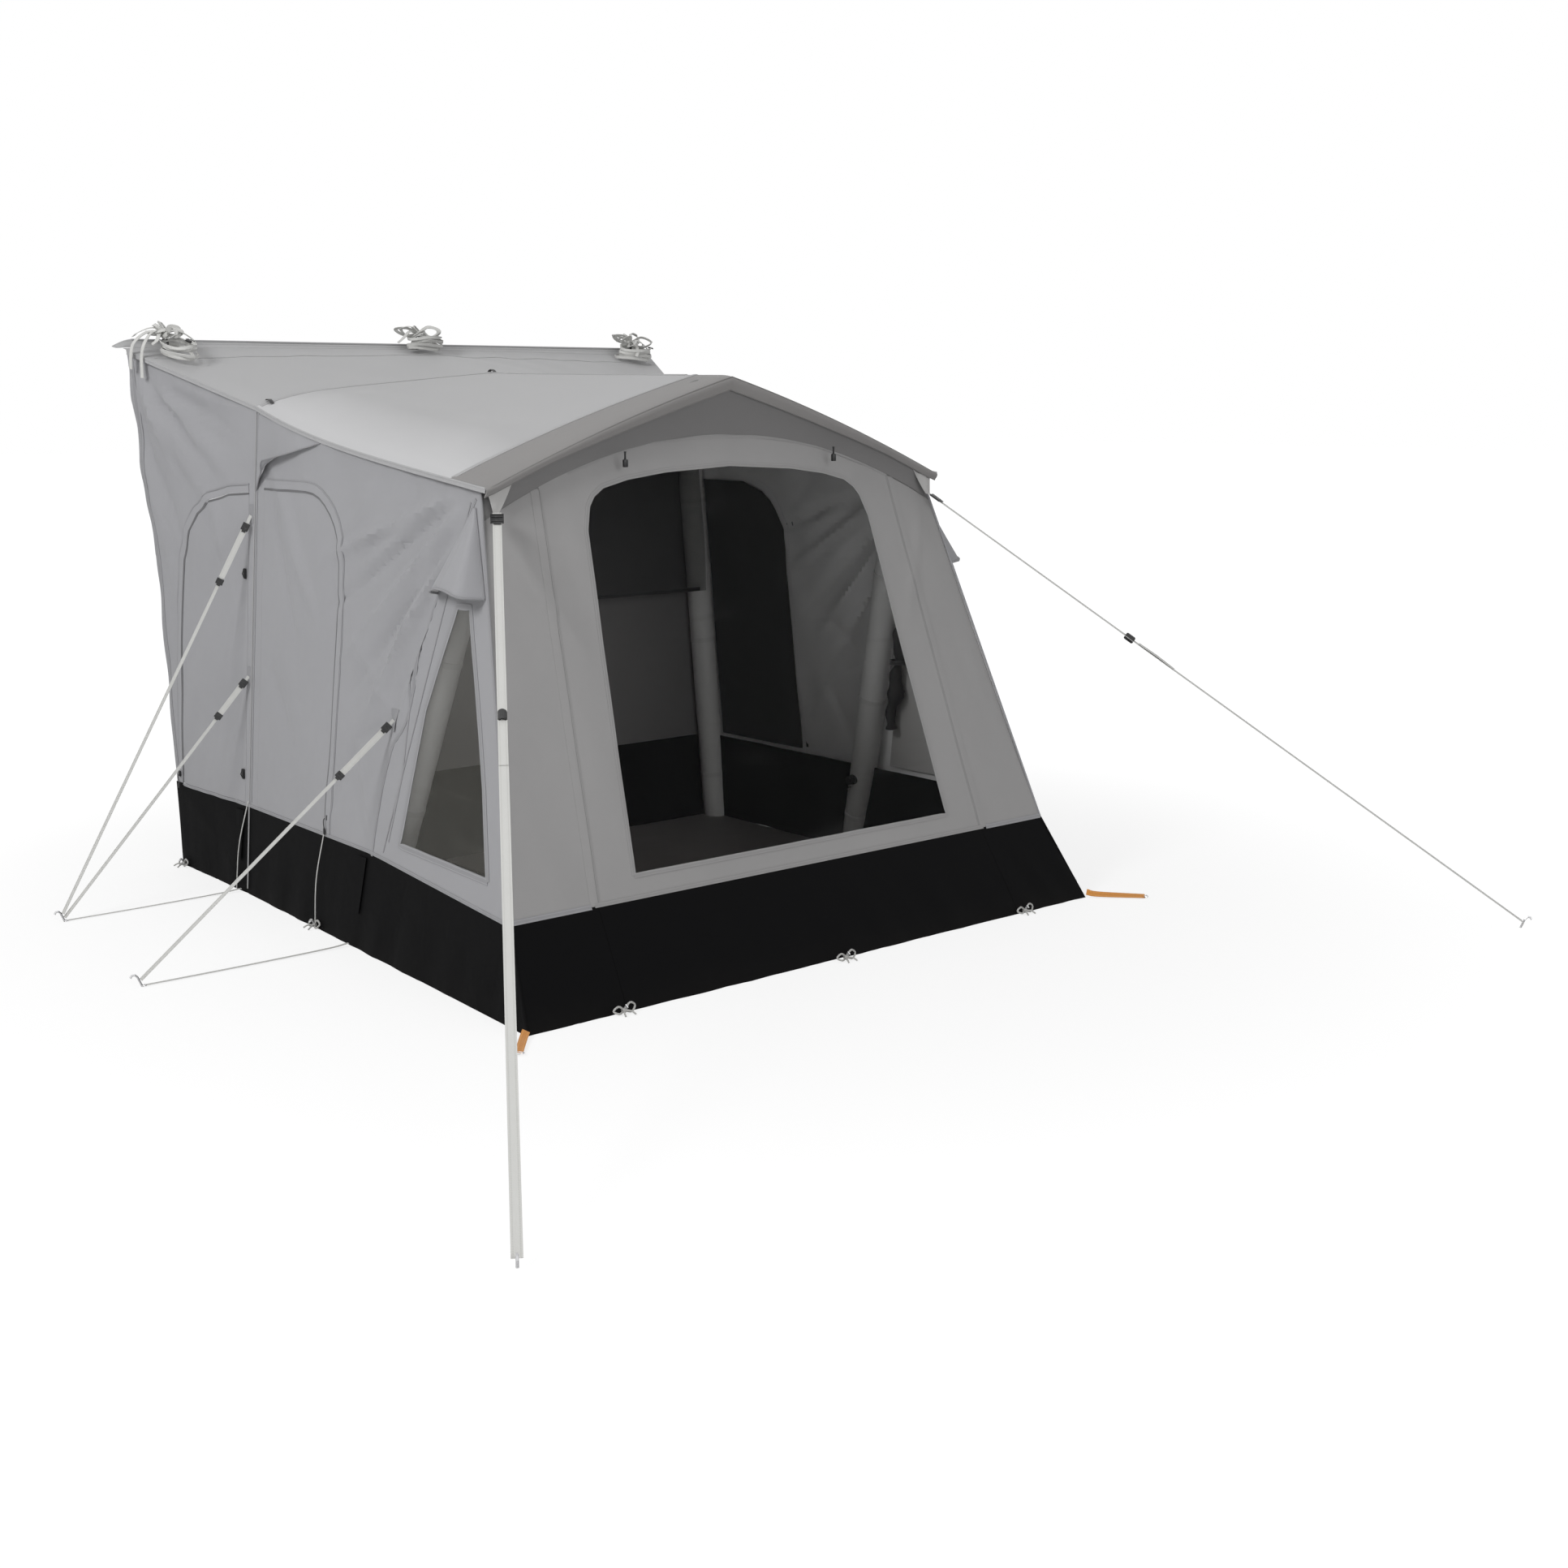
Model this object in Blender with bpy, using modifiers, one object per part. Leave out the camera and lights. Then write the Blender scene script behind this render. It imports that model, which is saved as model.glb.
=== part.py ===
import math

import bmesh
import bpy
from mathutils import Matrix, Vector
from mathutils.bvhtree import BVHTree

# Cloth thickness and the clearance left between neighbours
CLOTH = 0.005
GAP = 0.0005
ZIP_GAP = 0.0014
HINGE_OUT = 0.002
COIL_HEIGHT = 0.0022
# Front corner line of the cabin, from the floor over the skirt to the eave
FLOOR_X = 1.30
FLOOR_Y = -1.10
SKIRT_X = 1.234
SKIRT_Y = -0.913
SKIRT_Z = 0.308
SKIRT_REAR_Z = 0.36
EAVE_X = 1.004
EAVE_Y = -0.443
EAVE_Z = 1.648
# Line of the leaning front air leg on the side wall
LEG_FOOT_X = 1.235
LEG_FOOT_Y = 0.10
LEG_TOP_Y = -0.41
# Rear seam of the cabin
SEAM_Y = 1.10
SEAM_FOOT_X = 1.19
SEAM_TOP_X = 1.04
SEAM_TOP_Z = 1.907
# Vehicle end of the tunnel
TUNNEL_Y = 1.74
TUNNEL_FOOT_X = 1.18
TUNNEL_MID_X = 1.215
TUNNEL_TOP_X = 1.29
TUNNEL_MID_Z = 1.30
RAIL_Z = 2.142
RAIL_HALF = 1.26
RAIL_BAND = 0.055
# Roof
RIDGE_FRONT_Z = 2.015
RIDGE_REAR_Z = 2.037
LIP_Y = -0.512
BAND_Y = -0.30
LIP_DROP = 0.045
ROOF_OVERHANG = 0.008
FRONT_OVERHANG = 0.016
# Air frame
HOOP_RADIUS = 0.058
REAR_HOOP_RADIUS = 0.055
BRACE_RADIUS = 0.045
FRONT_CROWN_Y = -0.40
REAR_HOOP_Y = 1.035
TUBE_SIDES = 12
# Front wall
FRONT_SLOPE = 0.303
FRONT_BOW = 0.048
ZIP_FOOT_X = 0.92
ZIP_TOP_X = 0.80
PANEL_TOP_Z = 1.80
PANEL_CORNER_Z = 1.645
WINDOW_FOOT_X = 0.735
WINDOW_FOOT_Z = 0.38
WINDOW_TOP_X = 0.650
WINDOW_TOP_Z = 1.706
# Doors
DOOR_FRONT_Y = 0.43
DOOR_REAR_Y = 1.03
DOOR_TOP_Z = 1.60
DOOR_CORNER = 0.27
TUNNEL_DOOR_FRONT_Y = 1.135
TUNNEL_DOOR_REAR_Y = 1.685
TUNNEL_DOOR_TOP_Y = 1.50
TUNNEL_DOOR_TOP_Z = 1.58
REAR_DOOR_HALF = 0.50
REAR_DOOR_Z = 1.75
# Groundsheet, inner wall and curtain
SHEET_THICK = 0.004
SHEET_HALF = 1.15
SHEET_FRONT_Y = -0.90
REAR_WALL_Y = 1.0935
CURTAIN_Z = 1.075
# Guy lines
FRONT_PEG = (2.20, -2.45)
REAR_PEG = (1.904, 1.153)
MID_PEG = (2.005, 0.172)
FRONT_AWAY = (1.2, -1.95)
REAR_AWAY = (1.0, 0.0)
MID_AWAY = (1.0, 0.2)
LINE_RADIUS = 0.004
STRAP_RADIUS = 0.006
PEG_RADIUS = 0.004
# Reach of the hidden cutters beyond the cabin
BEYOND_X = TUNNEL_TOP_X + 0.6
BEYOND_Z = RAIL_Z + 0.26
BEYOND_FRONT = FLOOR_Y - 0.4
BEYOND_REAR = TUNNEL_Y + 0.2


def mix(a, b, t):
    return a + (b - a) * t


# Groups of objects: the finished pieces and the hidden cutters
for block in list(bpy.data.objects):
    bpy.data.objects.remove(block, do_unlink=True)
for block in list(bpy.data.collections):
    bpy.data.collections.remove(block)
PARTS = bpy.data.collections.new("driveaway_awning")
GUIDES = bpy.data.collections.new("guides")
bpy.context.scene.collection.children.link(PARTS)
bpy.context.scene.collection.children.link(GUIDES)


# Reference lines and surfaces of the cabin
def corner_line(z):
    if z <= SKIRT_Z:
        t = z / SKIRT_Z
        return mix(FLOOR_X, SKIRT_X, t), mix(FLOOR_Y, SKIRT_Y, t)
    t = min(1.0, (z - SKIRT_Z) / (EAVE_Z - SKIRT_Z))
    return mix(SKIRT_X, EAVE_X, t), mix(SKIRT_Y, EAVE_Y, t)


def leg_line(z):
    t = min(1.0, z / EAVE_Z)
    return mix(LEG_FOOT_X, EAVE_X, t), mix(LEG_FOOT_Y, LEG_TOP_Y, t)


def seam_x(z):
    return mix(SEAM_FOOT_X, SEAM_TOP_X, z / SEAM_TOP_Z)


def tunnel_x(z):
    if z < TUNNEL_MID_Z:
        return mix(TUNNEL_FOOT_X, TUNNEL_MID_X, z / TUNNEL_MID_Z)
    t = (z - TUNNEL_MID_Z) / (RAIL_Z - TUNNEL_MID_Z)
    return mix(TUNNEL_MID_X, TUNNEL_TOP_X, t)


def side_x(y, z):
    if y > SEAM_Y:
        return mix(seam_x(z), tunnel_x(z), (y - SEAM_Y) / (TUNNEL_Y - SEAM_Y))
    cx, cy = corner_line(z)
    lx, ly = leg_line(z)
    if y < ly:
        return mix(cx, lx, (y - cy) / (ly - cy))
    return mix(lx, seam_x(z), (y - ly) / (SEAM_Y - ly))


def front_y(x, z):
    if z < SKIRT_Z:
        return mix(FLOOR_Y, SKIRT_Y, z / SKIRT_Z)
    slope = FRONT_SLOPE + FRONT_BOW * (x / EAVE_X) ** 2
    return SKIRT_Y + slope * (z - SKIRT_Z)


def skirt_top(y):
    return mix(SKIRT_Z, SKIRT_REAR_Z, min(1.0, max(0.0, (y - SKIRT_Y) / (LEG_FOOT_Y - SKIRT_Y))))


def zip_x(z):
    return mix(ZIP_FOOT_X, ZIP_TOP_X, z / PANEL_CORNER_Z)


def front_profile(u):
    drop = RIDGE_FRONT_Z - EAVE_Z - 0.003
    return RIDGE_FRONT_Z - drop * (0.785 * abs(u) + 0.215 * u * u)


def rear_profile(u):
    return RIDGE_REAR_Z - (RIDGE_REAR_Z - SEAM_TOP_Z) * (0.66 * abs(u) + 0.34 * u ** 8)


def roof_half(y):
    return mix(EAVE_X + FRONT_OVERHANG, SEAM_TOP_X, (y - LIP_Y) / (SEAM_Y - LIP_Y))


def roof_z(x, y):
    t = (y - LIP_Y) / (SEAM_Y - LIP_Y)
    share = 0.72 * t + 0.28 * t ** 4
    u = x / roof_half(y)
    return mix(front_profile(u), rear_profile(u), share)


def tunnel_z(x, y):
    v = (y - SEAM_Y) / (TUNNEL_Y - SEAM_Y)
    u = x / mix(SEAM_TOP_X, TUNNEL_TOP_X, v)
    return mix(rear_profile(u), RAIL_Z - 0.012 * u * u, v)


def side_frame(y, z):
    step = 0.01
    slope_y = (side_x(y + step, z) - side_x(y - step, z)) / (2 * step)
    slope_z = (side_x(y, z + step) - side_x(y, z - step)) / (2 * step)
    return Vector((side_x(y, z), y, z)), Vector((1.0, -slope_y, -slope_z)).normalized()


def roof_frame(x, y):
    step = 0.01
    slope_x = (roof_z(x + step, y) - roof_z(x - step, y)) / (2 * step)
    slope_y = (roof_z(x, y + step) - roof_z(x, y - step)) / (2 * step)
    return Vector((x, y, roof_z(x, y))), Vector((-slope_x, -slope_y, 1.0)).normalized()


# Makers
def paint(body, colour, rough=0.8, metal=0.0, alpha=1.0):
    stuff = bpy.data.materials.new(body.name)
    stuff.use_nodes = True
    shader = stuff.node_tree.nodes["Principled BSDF"]
    shader.inputs["Base Color"].default_value = (*colour, 1.0)
    shader.inputs["Roughness"].default_value = rough
    shader.inputs["Metallic"].default_value = metal
    shader.inputs["Alpha"].default_value = alpha
    stuff.diffuse_color = (*colour, alpha)
    body.data.materials.clear()
    body.data.materials.append(stuff)
    return body


def add(name, mesh, group=None):
    body = bpy.data.objects.new(name, mesh)
    (group or PARTS).objects.link(body)
    if group is GUIDES:
        body.hide_render = True
        body.display_type = "WIRE"
    return body


def from_faces(name, points, faces, group=None):
    mesh = bpy.data.meshes.new(name)
    mesh.from_pydata([tuple(p) for p in points], [], faces)
    tidy = bmesh.new()
    tidy.from_mesh(mesh)
    bmesh.ops.recalc_face_normals(tidy, faces=tidy.faces)
    tidy.to_mesh(mesh)
    tidy.free()
    return add(name, mesh, group)


def grid(name, rows, group=None):
    wide = len(rows[0])
    points = [p for row in rows for p in row]
    faces = []
    for r in range(len(rows) - 1):
        for c in range(wide - 1):
            a = r * wide + c
            faces.append((a, a + 1, a + wide + 1))
            faces.append((a, a + wide + 1, a + wide))
    return from_faces(name, points, faces, group)


def sheet(name, rows, thick=CLOTH, group=None):
    body = grid(name, rows, group)
    solid = body.modifiers.new("thickness", "SOLIDIFY")
    solid.thickness = thick
    solid.offset = 0.0
    solid.use_even_offset = True
    return body


def slab(name, rows, low, high, group=None):
    wide = len(rows[0])
    deep = len(rows)
    points = []
    for lift in (low, high):
        points += [Vector(p) + Vector((0.0, 0.0, lift)) for row in rows for p in row]
    top = wide * deep
    faces = []
    for r in range(deep - 1):
        for c in range(wide - 1):
            a = r * wide + c
            faces.append((a, a + 1, a + wide + 1, a + wide))
            faces.append((top + a, top + a + wide, top + a + wide + 1, top + a + 1))
    ring = [c for c in range(wide)]
    ring += [r * wide + wide - 1 for r in range(1, deep)]
    ring += [(deep - 1) * wide + c for c in range(wide - 2, -1, -1)]
    ring += [r * wide for r in range(deep - 2, 0, -1)]
    for i, a in enumerate(ring):
        b = ring[(i + 1) % len(ring)]
        faces.append((a, top + a, top + b, b))
    return from_faces(name, points, faces, group)


def prism(name, outline, axis, low, high, group=None):
    def place(p, depth):
        if axis == "X":
            return (depth, p[0], p[1])
        if axis == "Y":
            return (p[0], depth, p[1])
        return (p[0], p[1], depth)
    count = len(outline)
    points = [place(p, low) for p in outline] + [place(p, high) for p in outline]
    faces = [tuple(range(count)), tuple(range(2 * count - 1, count - 1, -1))]
    for i in range(count):
        j = (i + 1) % count
        faces.append((i, i + count, j + count, j))
    return from_faces(name, points, faces, group)


def boolean(body, cutter, operation="DIFFERENCE"):
    step = body.modifiers.new(cutter.name, "BOOLEAN")
    step.solver = "EXACT"
    step.operation = operation
    step.object = cutter
    return body


def loft(name, stations, radius, sides=TUBE_SIDES, group=None):
    points = []
    count = len(stations)
    for i, (centre, normal) in enumerate(stations):
        before = stations[max(0, i - 1)][0]
        after = stations[min(count - 1, i + 1)][0]
        along = (after - before).normalized()
        up = (normal - along * normal.dot(along)).normalized()
        across = along.cross(up)
        for k in range(sides):
            turn = 2.0 * math.pi * k / sides
            points.append(centre + radius * (math.cos(turn) * up + math.sin(turn) * across))
    faces = [tuple(range(sides)), tuple(range(len(points) - 1, len(points) - sides - 1, -1))]
    for i in range(count - 1):
        for k in range(sides):
            a = i * sides + k
            b = i * sides + (k + 1) % sides
            faces.append((a, a + sides, b + sides, b))
    return from_faces(name, points, faces, group)


def finished_mesh(body):
    bpy.context.view_layer.update()
    graph = bpy.context.evaluated_depsgraph_get()
    graph.update()
    mesh = bpy.data.meshes.new_from_object(body.evaluated_get(graph))
    mesh.transform(body.matrix_world)
    return mesh


def bake(body):
    mesh = finished_mesh(body)
    body.modifiers.clear()
    body.data = mesh
    return body


def both_sides(body):
    """Name the right hand piece and add its mirrored left hand twin."""
    base = body.name
    body.name = base + "_right"
    bake(body)
    mesh = body.data.copy()
    mesh.transform(Matrix.Scale(-1.0, 4, (1.0, 0.0, 0.0)))
    mesh.flip_normals()
    return body, add(base + "_left", mesh)


def arc(centre, radius, start, end, steps):
    out = []
    for i in range(steps + 1):
        turn = math.radians(mix(start, end, i / steps))
        out.append((centre[0] + radius * math.cos(turn), centre[1] + radius * math.sin(turn)))
    return out


def inset(outline, amount):
    """Move every edge of a counter-clockwise outline inwards by one amount."""
    count = len(outline)
    out = []
    for i in range(count):
        a = Vector(outline[i - 1])
        b = Vector(outline[i])
        c = Vector(outline[(i + 1) % count])
        first = (b - a).normalized()
        second = (c - b).normalized()
        left_one = Vector((-first.y, first.x))
        left_two = Vector((-second.y, second.x))
        both = (left_one + left_two)
        both = both / max(0.2, both.length_squared / 2.0)
        out.append(tuple(b + both * amount))
    return out


# Air frame: two hoops and a ridge brace
CROWN = (1.0, 0.92, 0.8, 0.6, 0.4, 0.2, 0.0)
HOOP_BACK = 0.012


def hoop_stations(radius, leg_at, top_z, crown_y, widest):
    reach = CLOTH / 2 + GAP + radius
    legs = []
    for k in range(5):
        z = 0.0003 + (top_z - 0.0003) * k / 4
        point, normal = side_frame(leg_at(z), z)
        flat = Vector((normal.x, 0.0, normal.z)).normalized()
        legs.append((point - flat * reach / flat.dot(normal), flat))
    crown = []
    for u in CROWN:
        if u * roof_half(crown_y) > widest:
            continue
        point, normal = roof_frame(u * roof_half(crown_y), crown_y)
        flat = Vector((0.0 if u == 0.0 else normal.x, 0.0, normal.z)).normalized()
        fall = (roof_z(0.0, crown_y) - roof_z(0.02, crown_y)) / 0.02 if u == 0.0 else 0.0
        crown.append((point - flat * reach * math.sqrt(1.0 + fall * fall) / flat.dot(normal), flat))
    start = legs[-1]
    end = crown[0]
    rise = (end[0].z - start[0].z) * 0.85
    knee = start[0] + (legs[-1][0] - legs[-2][0]).normalized() * rise
    bend = []
    for t in (0.25, 0.5, 0.75):
        centre = start[0] * (1 - t) ** 2 + knee * 2 * t * (1 - t) + end[0] * t * t
        bend.append((centre, start[1].lerp(end[1], t).normalized()))
    right = legs + bend + crown
    left = [(Vector((-c.x, c.y, c.z)), Vector((-n.x, n.y, n.z))) for c, n in reversed(right[:-1])]
    return right + left


def front_leg_y(z):
    return leg_line(z)[1] + HOOP_BACK


def rear_leg_y(z):
    return REAR_HOOP_Y


front_line = hoop_stations(HOOP_RADIUS, front_leg_y, 1.42, FRONT_CROWN_Y, 0.86)
rear_line = hoop_stations(REAR_HOOP_RADIUS, rear_leg_y, 1.70, REAR_HOOP_Y, 0.90)
front_hoop = paint(loft("front_air_hoop", front_line, HOOP_RADIUS), (0.16, 0.16, 0.165), 0.6)
rear_hoop = paint(loft("rear_air_hoop", rear_line, REAR_HOOP_RADIUS), (0.16, 0.16, 0.165), 0.6)
front_cutter = loft("front_hoop_clear", front_line, HOOP_RADIUS + GAP, group=GUIDES)
rear_cutter = loft("rear_hoop_clear", rear_line, REAR_HOOP_RADIUS + GAP, group=GUIDES)


def level_hoop(body, cutter_name):
    ground = prism(cutter_name, [(-2, -1), (2, -1), (2, 2), (-2, 2)], "Z", -0.5, SHEET_THICK + GAP, GUIDES)
    return boolean(body, ground)


level_hoop(front_hoop, "front_feet_level")
level_hoop(rear_hoop, "rear_feet_level")
brace_line = []
for k in range(5):
    y = mix(FRONT_CROWN_Y, REAR_HOOP_Y, k / 4)
    ridge = roof_z(0.0, y) - CLOTH / 2 - GAP - BRACE_RADIUS - 0.004
    brace_line.append((Vector((0.0, y, ridge)), Vector((0.0, 0.0, 1.0))))
brace = paint(loft("ridge_air_brace", brace_line, BRACE_RADIUS), (0.16, 0.16, 0.165), 0.6)
boolean(brace, front_cutter)
boolean(brace, rear_cutter)
brace_cutter = loft("brace_clear", brace_line, BRACE_RADIUS + GAP, group=GUIDES)

# Roof, canopy and tunnel roof
ROOF_STEPS = [-u for u in CROWN[:-1]] + list(reversed(CROWN))


def roof_row(y, drop=0.0, back=0.0, extra=ROOF_OVERHANG):
    row = []
    for u in ROOF_STEPS:
        half = roof_half(y)
        x = u * half
        z = roof_z(x, y)
        if abs(u) == 1.0:
            x += math.copysign(extra, u)
        row.append(Vector((x, y + back, z - drop)))
    return row


def split_rows(low, high, inner):
    return [low] + [y for y in inner if low < y < high] + [high]


roof_ys = split_rows(BAND_Y + GAP, SEAM_Y - GAP, (0.05, 0.40, 0.75, REAR_HOOP_Y))
roof = paint(sheet("roof_panel", [roof_row(y) for y in roof_ys]), (0.44, 0.44, 0.445))


def lip_row(y, share):
    row = []
    for u in ROOF_STEPS:
        half = roof_half(LIP_Y)
        x = u * half
        depth = LIP_DROP * (1.0 - 0.42 * min(1.0, abs(x) / 0.75) ** 2)
        z = roof_z(x, LIP_Y) - 0.004 - depth * share
        if abs(u) == 1.0:
            x += math.copysign(ROOF_OVERHANG, u)
        row.append(Vector((x, y, z)))
    return row


canopy_rows = [roof_row(BAND_Y - GAP), roof_row(FRONT_CROWN_Y), roof_row(-0.45), roof_row(-0.49)]
canopy_rows += [lip_row(LIP_Y - 0.004, 0.18), lip_row(LIP_Y - 0.006, 0.55), lip_row(LIP_Y + 0.004, 1.0)]
canopy = paint(sheet("canopy_sleeve", canopy_rows), (0.31, 0.305, 0.30))


def tunnel_row(y):
    row = []
    v = (y - SEAM_Y) / (TUNNEL_Y - SEAM_Y)
    half = mix(SEAM_TOP_X, TUNNEL_TOP_X, v)
    for u in ROOF_STEPS:
        x = u * half
        z = tunnel_z(x, y)
        if abs(u) == 1.0:
            x += math.copysign(ROOF_OVERHANG, u)
        row.append(Vector((x, y, z)))
    return row


tunnel_ys = [SEAM_Y + GAP, 1.30, 1.52, TUNNEL_Y]
tunnel_roof = paint(sheet("tunnel_roof", [tunnel_row(y) for y in tunnel_ys]), (0.43, 0.43, 0.435))


# Cutters that trim the walls just below the roof skins
def sky_row(y):
    return [Vector((x, y, roof_z(x, y))) for x in [u * roof_half(y) for u in
            [-1.15] + ROOF_STEPS + [1.15]]]


sky = slab("sky_cabin", [sky_row(y) for y in [-0.60, -0.49, -0.45, FRONT_CROWN_Y, BAND_Y, 0.05, 0.40, 0.75,
           REAR_HOOP_Y, 1.10, 1.25]], -CLOTH / 2 - GAP - 0.0006, 0.4, GUIDES)


def high_row(y):
    v = (y - SEAM_Y) / (TUNNEL_Y - SEAM_Y)
    half = mix(SEAM_TOP_X, TUNNEL_TOP_X, v)
    return [Vector((u * half, y, tunnel_z(u * half, y))) for u in [-1.12] + ROOF_STEPS + [1.12]]


high = slab("sky_tunnel", [high_row(y) for y in [SEAM_Y - 0.01, 1.30, 1.52, TUNNEL_Y, 1.80]],
            -CLOTH / 2 - GAP - 0.0006, 0.4, GUIDES)

# Keder strip: a flat band with a beaded upper edge that slides into the vehicle rail
band_low = RAIL_Z - 0.6 * RAIL_BAND
band = [(0.0, 0.0), (0.005, 0.0), (0.005, RAIL_BAND - 0.004)]
band += [(0.0025 + p[0], RAIL_BAND + p[1]) for p in arc((0, 0), 0.005, -50, 230, 7)]
band += [(0.0, RAIL_BAND - 0.004)]
band = [(TUNNEL_Y + CLOTH * 0.18 + GAP + p[0], band_low + p[1]) for p in band]
keder = paint(prism("keder_strip", band, "X", -RAIL_HALF, RAIL_HALF), (0.47, 0.47, 0.47))


# Side walls of the cabin
def cabin_row(z):
    cx, cy = corner_line(z)
    lx, ly = leg_line(z)
    row = [Vector((cx, cy, z)), Vector((lx, ly, z))]
    for t in (0.25, 0.5, 0.75):
        y = mix(ly, SEAM_Y - GAP, t)
        row.append(Vector((side_x(y, z), y, z)))
    row.append(Vector((seam_x(z), SEAM_Y - GAP, z)))
    return row


def skirt_outline(low_y, high_y, top, lift):
    line = [(y, skirt_top(y) + lift) for y in (low_y, SKIRT_Y, LEG_FOOT_Y, high_y)]
    return line + [(high_y, top), (low_y, top)]


CABIN_ZS = (0.20, 0.308, 0.60, 0.90, 1.20, 1.45, EAVE_Z, 1.80, 2.02)
wall_zone = prism("wall_zone", skirt_outline(BEYOND_FRONT, SEAM_Y + 0.2, BEYOND_Z, GAP), "X", 0.5, BEYOND_X,
                  GUIDES)
skirt_trim = prism("skirt_trim", skirt_outline(BEYOND_FRONT, BEYOND_REAR, 0.9, 0.0), "X", -BEYOND_X, BEYOND_X,
                   GUIDES)
door_foot = skirt_top(1.0) + GAP
door_outline = [(DOOR_FRONT_Y, door_foot), (DOOR_REAR_Y, door_foot), (DOOR_REAR_Y, DOOR_TOP_Z)]
door_outline += arc((DOOR_FRONT_Y + DOOR_CORNER, DOOR_TOP_Z - DOOR_CORNER), DOOR_CORNER, 90, 180, 6)
wide_door = [(DOOR_FRONT_Y, 0.20), (DOOR_REAR_Y, 0.20)] + door_outline[2:]
door_hole = prism("side_door_hole", wide_door, "X", 0.8, 1.5, GUIDES)
door_zone = prism("side_door_zone", inset(door_outline, GAP), "X", 0.8, 1.5, GUIDES)
window_outline = [(-0.752, 0.410), (-0.130, 0.415), (-0.172, 0.640), (-0.222, 0.90), (-0.372, 1.258),
                  (-0.463, 1.262), (-0.587, 0.927), (-0.672, 0.697)]
window_hole = prism("side_window_hole", window_outline, "X", 0.8, 1.5, GUIDES)
window_zone = prism("side_window_zone", inset(window_outline, GAP), "X", 0.8, 1.5, GUIDES)
cabin_rows = [cabin_row(z) for z in CABIN_ZS]
side_wall = sheet("side_wall", cabin_rows)
boolean(side_wall, wall_zone, "INTERSECT")
boolean(side_wall, door_hole)
boolean(side_wall, window_hole)
boolean(side_wall, sky)
side_door = boolean(sheet("side_door", cabin_rows), door_zone, "INTERSECT")
side_window = boolean(sheet("side_window", cabin_rows, 0.003), window_zone, "INTERSECT")


# Tunnel walls
def tunnel_wall_row(z):
    row = []
    for t in (0.0, 0.33, 0.66, 1.0):
        y = mix(SEAM_Y + GAP, TUNNEL_Y, t)
        row.append(Vector((mix(seam_x(z), tunnel_x(z), t), y, z)))
    return row


TUNNEL_ZS = (0.20, 0.60, 1.0, TUNNEL_MID_Z, 1.60, 1.907, 2.05, 2.25)
tunnel_rows = [tunnel_wall_row(z) for z in TUNNEL_ZS]
tunnel_zone = prism("tunnel_zone", [(SEAM_Y - 0.1, SKIRT_REAR_Z + GAP), (BEYOND_REAR, SKIRT_REAR_Z + GAP),
                    (BEYOND_REAR, BEYOND_Z), (SEAM_Y - 0.1, BEYOND_Z)], "X", 0.5, BEYOND_X, GUIDES)
tunnel_outline = [(TUNNEL_DOOR_FRONT_Y, SKIRT_REAR_Z), (TUNNEL_DOOR_REAR_Y, SKIRT_REAR_Z),
                  (TUNNEL_DOOR_TOP_Y + 0.05, 1.30),
                  (TUNNEL_DOOR_TOP_Y + 0.005, 1.42), (TUNNEL_DOOR_TOP_Y - 0.055, 1.49),
                  (TUNNEL_DOOR_TOP_Y - 0.15, 1.545), (TUNNEL_DOOR_TOP_Y - 0.25, TUNNEL_DOOR_TOP_Z - 0.008),
                  (TUNNEL_DOOR_FRONT_Y, TUNNEL_DOOR_TOP_Z)]
tunnel_wide = [(TUNNEL_DOOR_FRONT_Y, 0.22), (TUNNEL_DOOR_REAR_Y, 0.22)] + tunnel_outline[1:]
tunnel_hole = prism("tunnel_door_hole", tunnel_wide, "X", 0.8, 1.6, GUIDES)
tunnel_door_zone = prism("tunnel_door_zone", inset(tunnel_outline, ZIP_GAP), "X", 0.8, 1.6, GUIDES)
tunnel_wall = sheet("tunnel_wall", tunnel_rows)
boolean(tunnel_wall, high)
boolean(tunnel_wall, tunnel_zone, "INTERSECT")
boolean(tunnel_wall, tunnel_hole)
tunnel_door = boolean(sheet("tunnel_door", tunnel_rows), tunnel_door_zone, "INTERSECT")

# Skirts: one strip from the front zip round the corner to the vehicle end
SKIRT_SHARES = (-0.05, 0.5, 1.0, 1.15)
skirt_rows = []
for share in SKIRT_SHARES:
    z = share * SKIRT_Z
    cx, cy = corner_line(z)
    row = [Vector((zip_x(z) + GAP, cy, z)), Vector((mix(zip_x(z), cx, 0.5), cy, z)), Vector((cx, cy, z))]
    for y in (-0.55, -0.20, LEG_FOOT_Y, 0.42, 0.75, SEAM_Y, 1.40, TUNNEL_Y):
        height = share * skirt_top(y)
        row.append(Vector((side_x(y, height), y, height)))
    skirt_rows.append(row)
side_skirt = sheet("side_skirt", skirt_rows)
ground = prism("ground_trim", [(-3, -3), (3, -3), (3, 3), (-3, 3)], "Z", -0.5, 0.0, GUIDES)
boolean(side_skirt, ground)
boolean(side_skirt, skirt_trim)


def tree_of(body):
    mesh = finished_mesh(body)
    points = [v.co.copy() for v in mesh.vertices]
    return BVHTree.FromPolygons(points, [tuple(f.vertices) for f in mesh.polygons])


def skin_tree(name, rows):
    return tree_of(sheet(name, rows, group=GUIDES))


CABIN_SKIN = skin_tree("cabin_skin", cabin_rows)
TUNNEL_SKIN = skin_tree("tunnel_skin", tunnel_rows)


def outer(y, z):
    tree = TUNNEL_SKIN if y > SEAM_Y else CABIN_SKIN
    spot, normal, index, distance = tree.ray_cast(Vector((3.0, y, z)), Vector((-1.0, 0.0, 0.0)))
    return spot, normal


# Front wall, roll-up front panel with its window, and its skirt
FRONT_XS = (0.0, 0.25, 0.5, 0.7, 0.85, 1.0)


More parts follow.
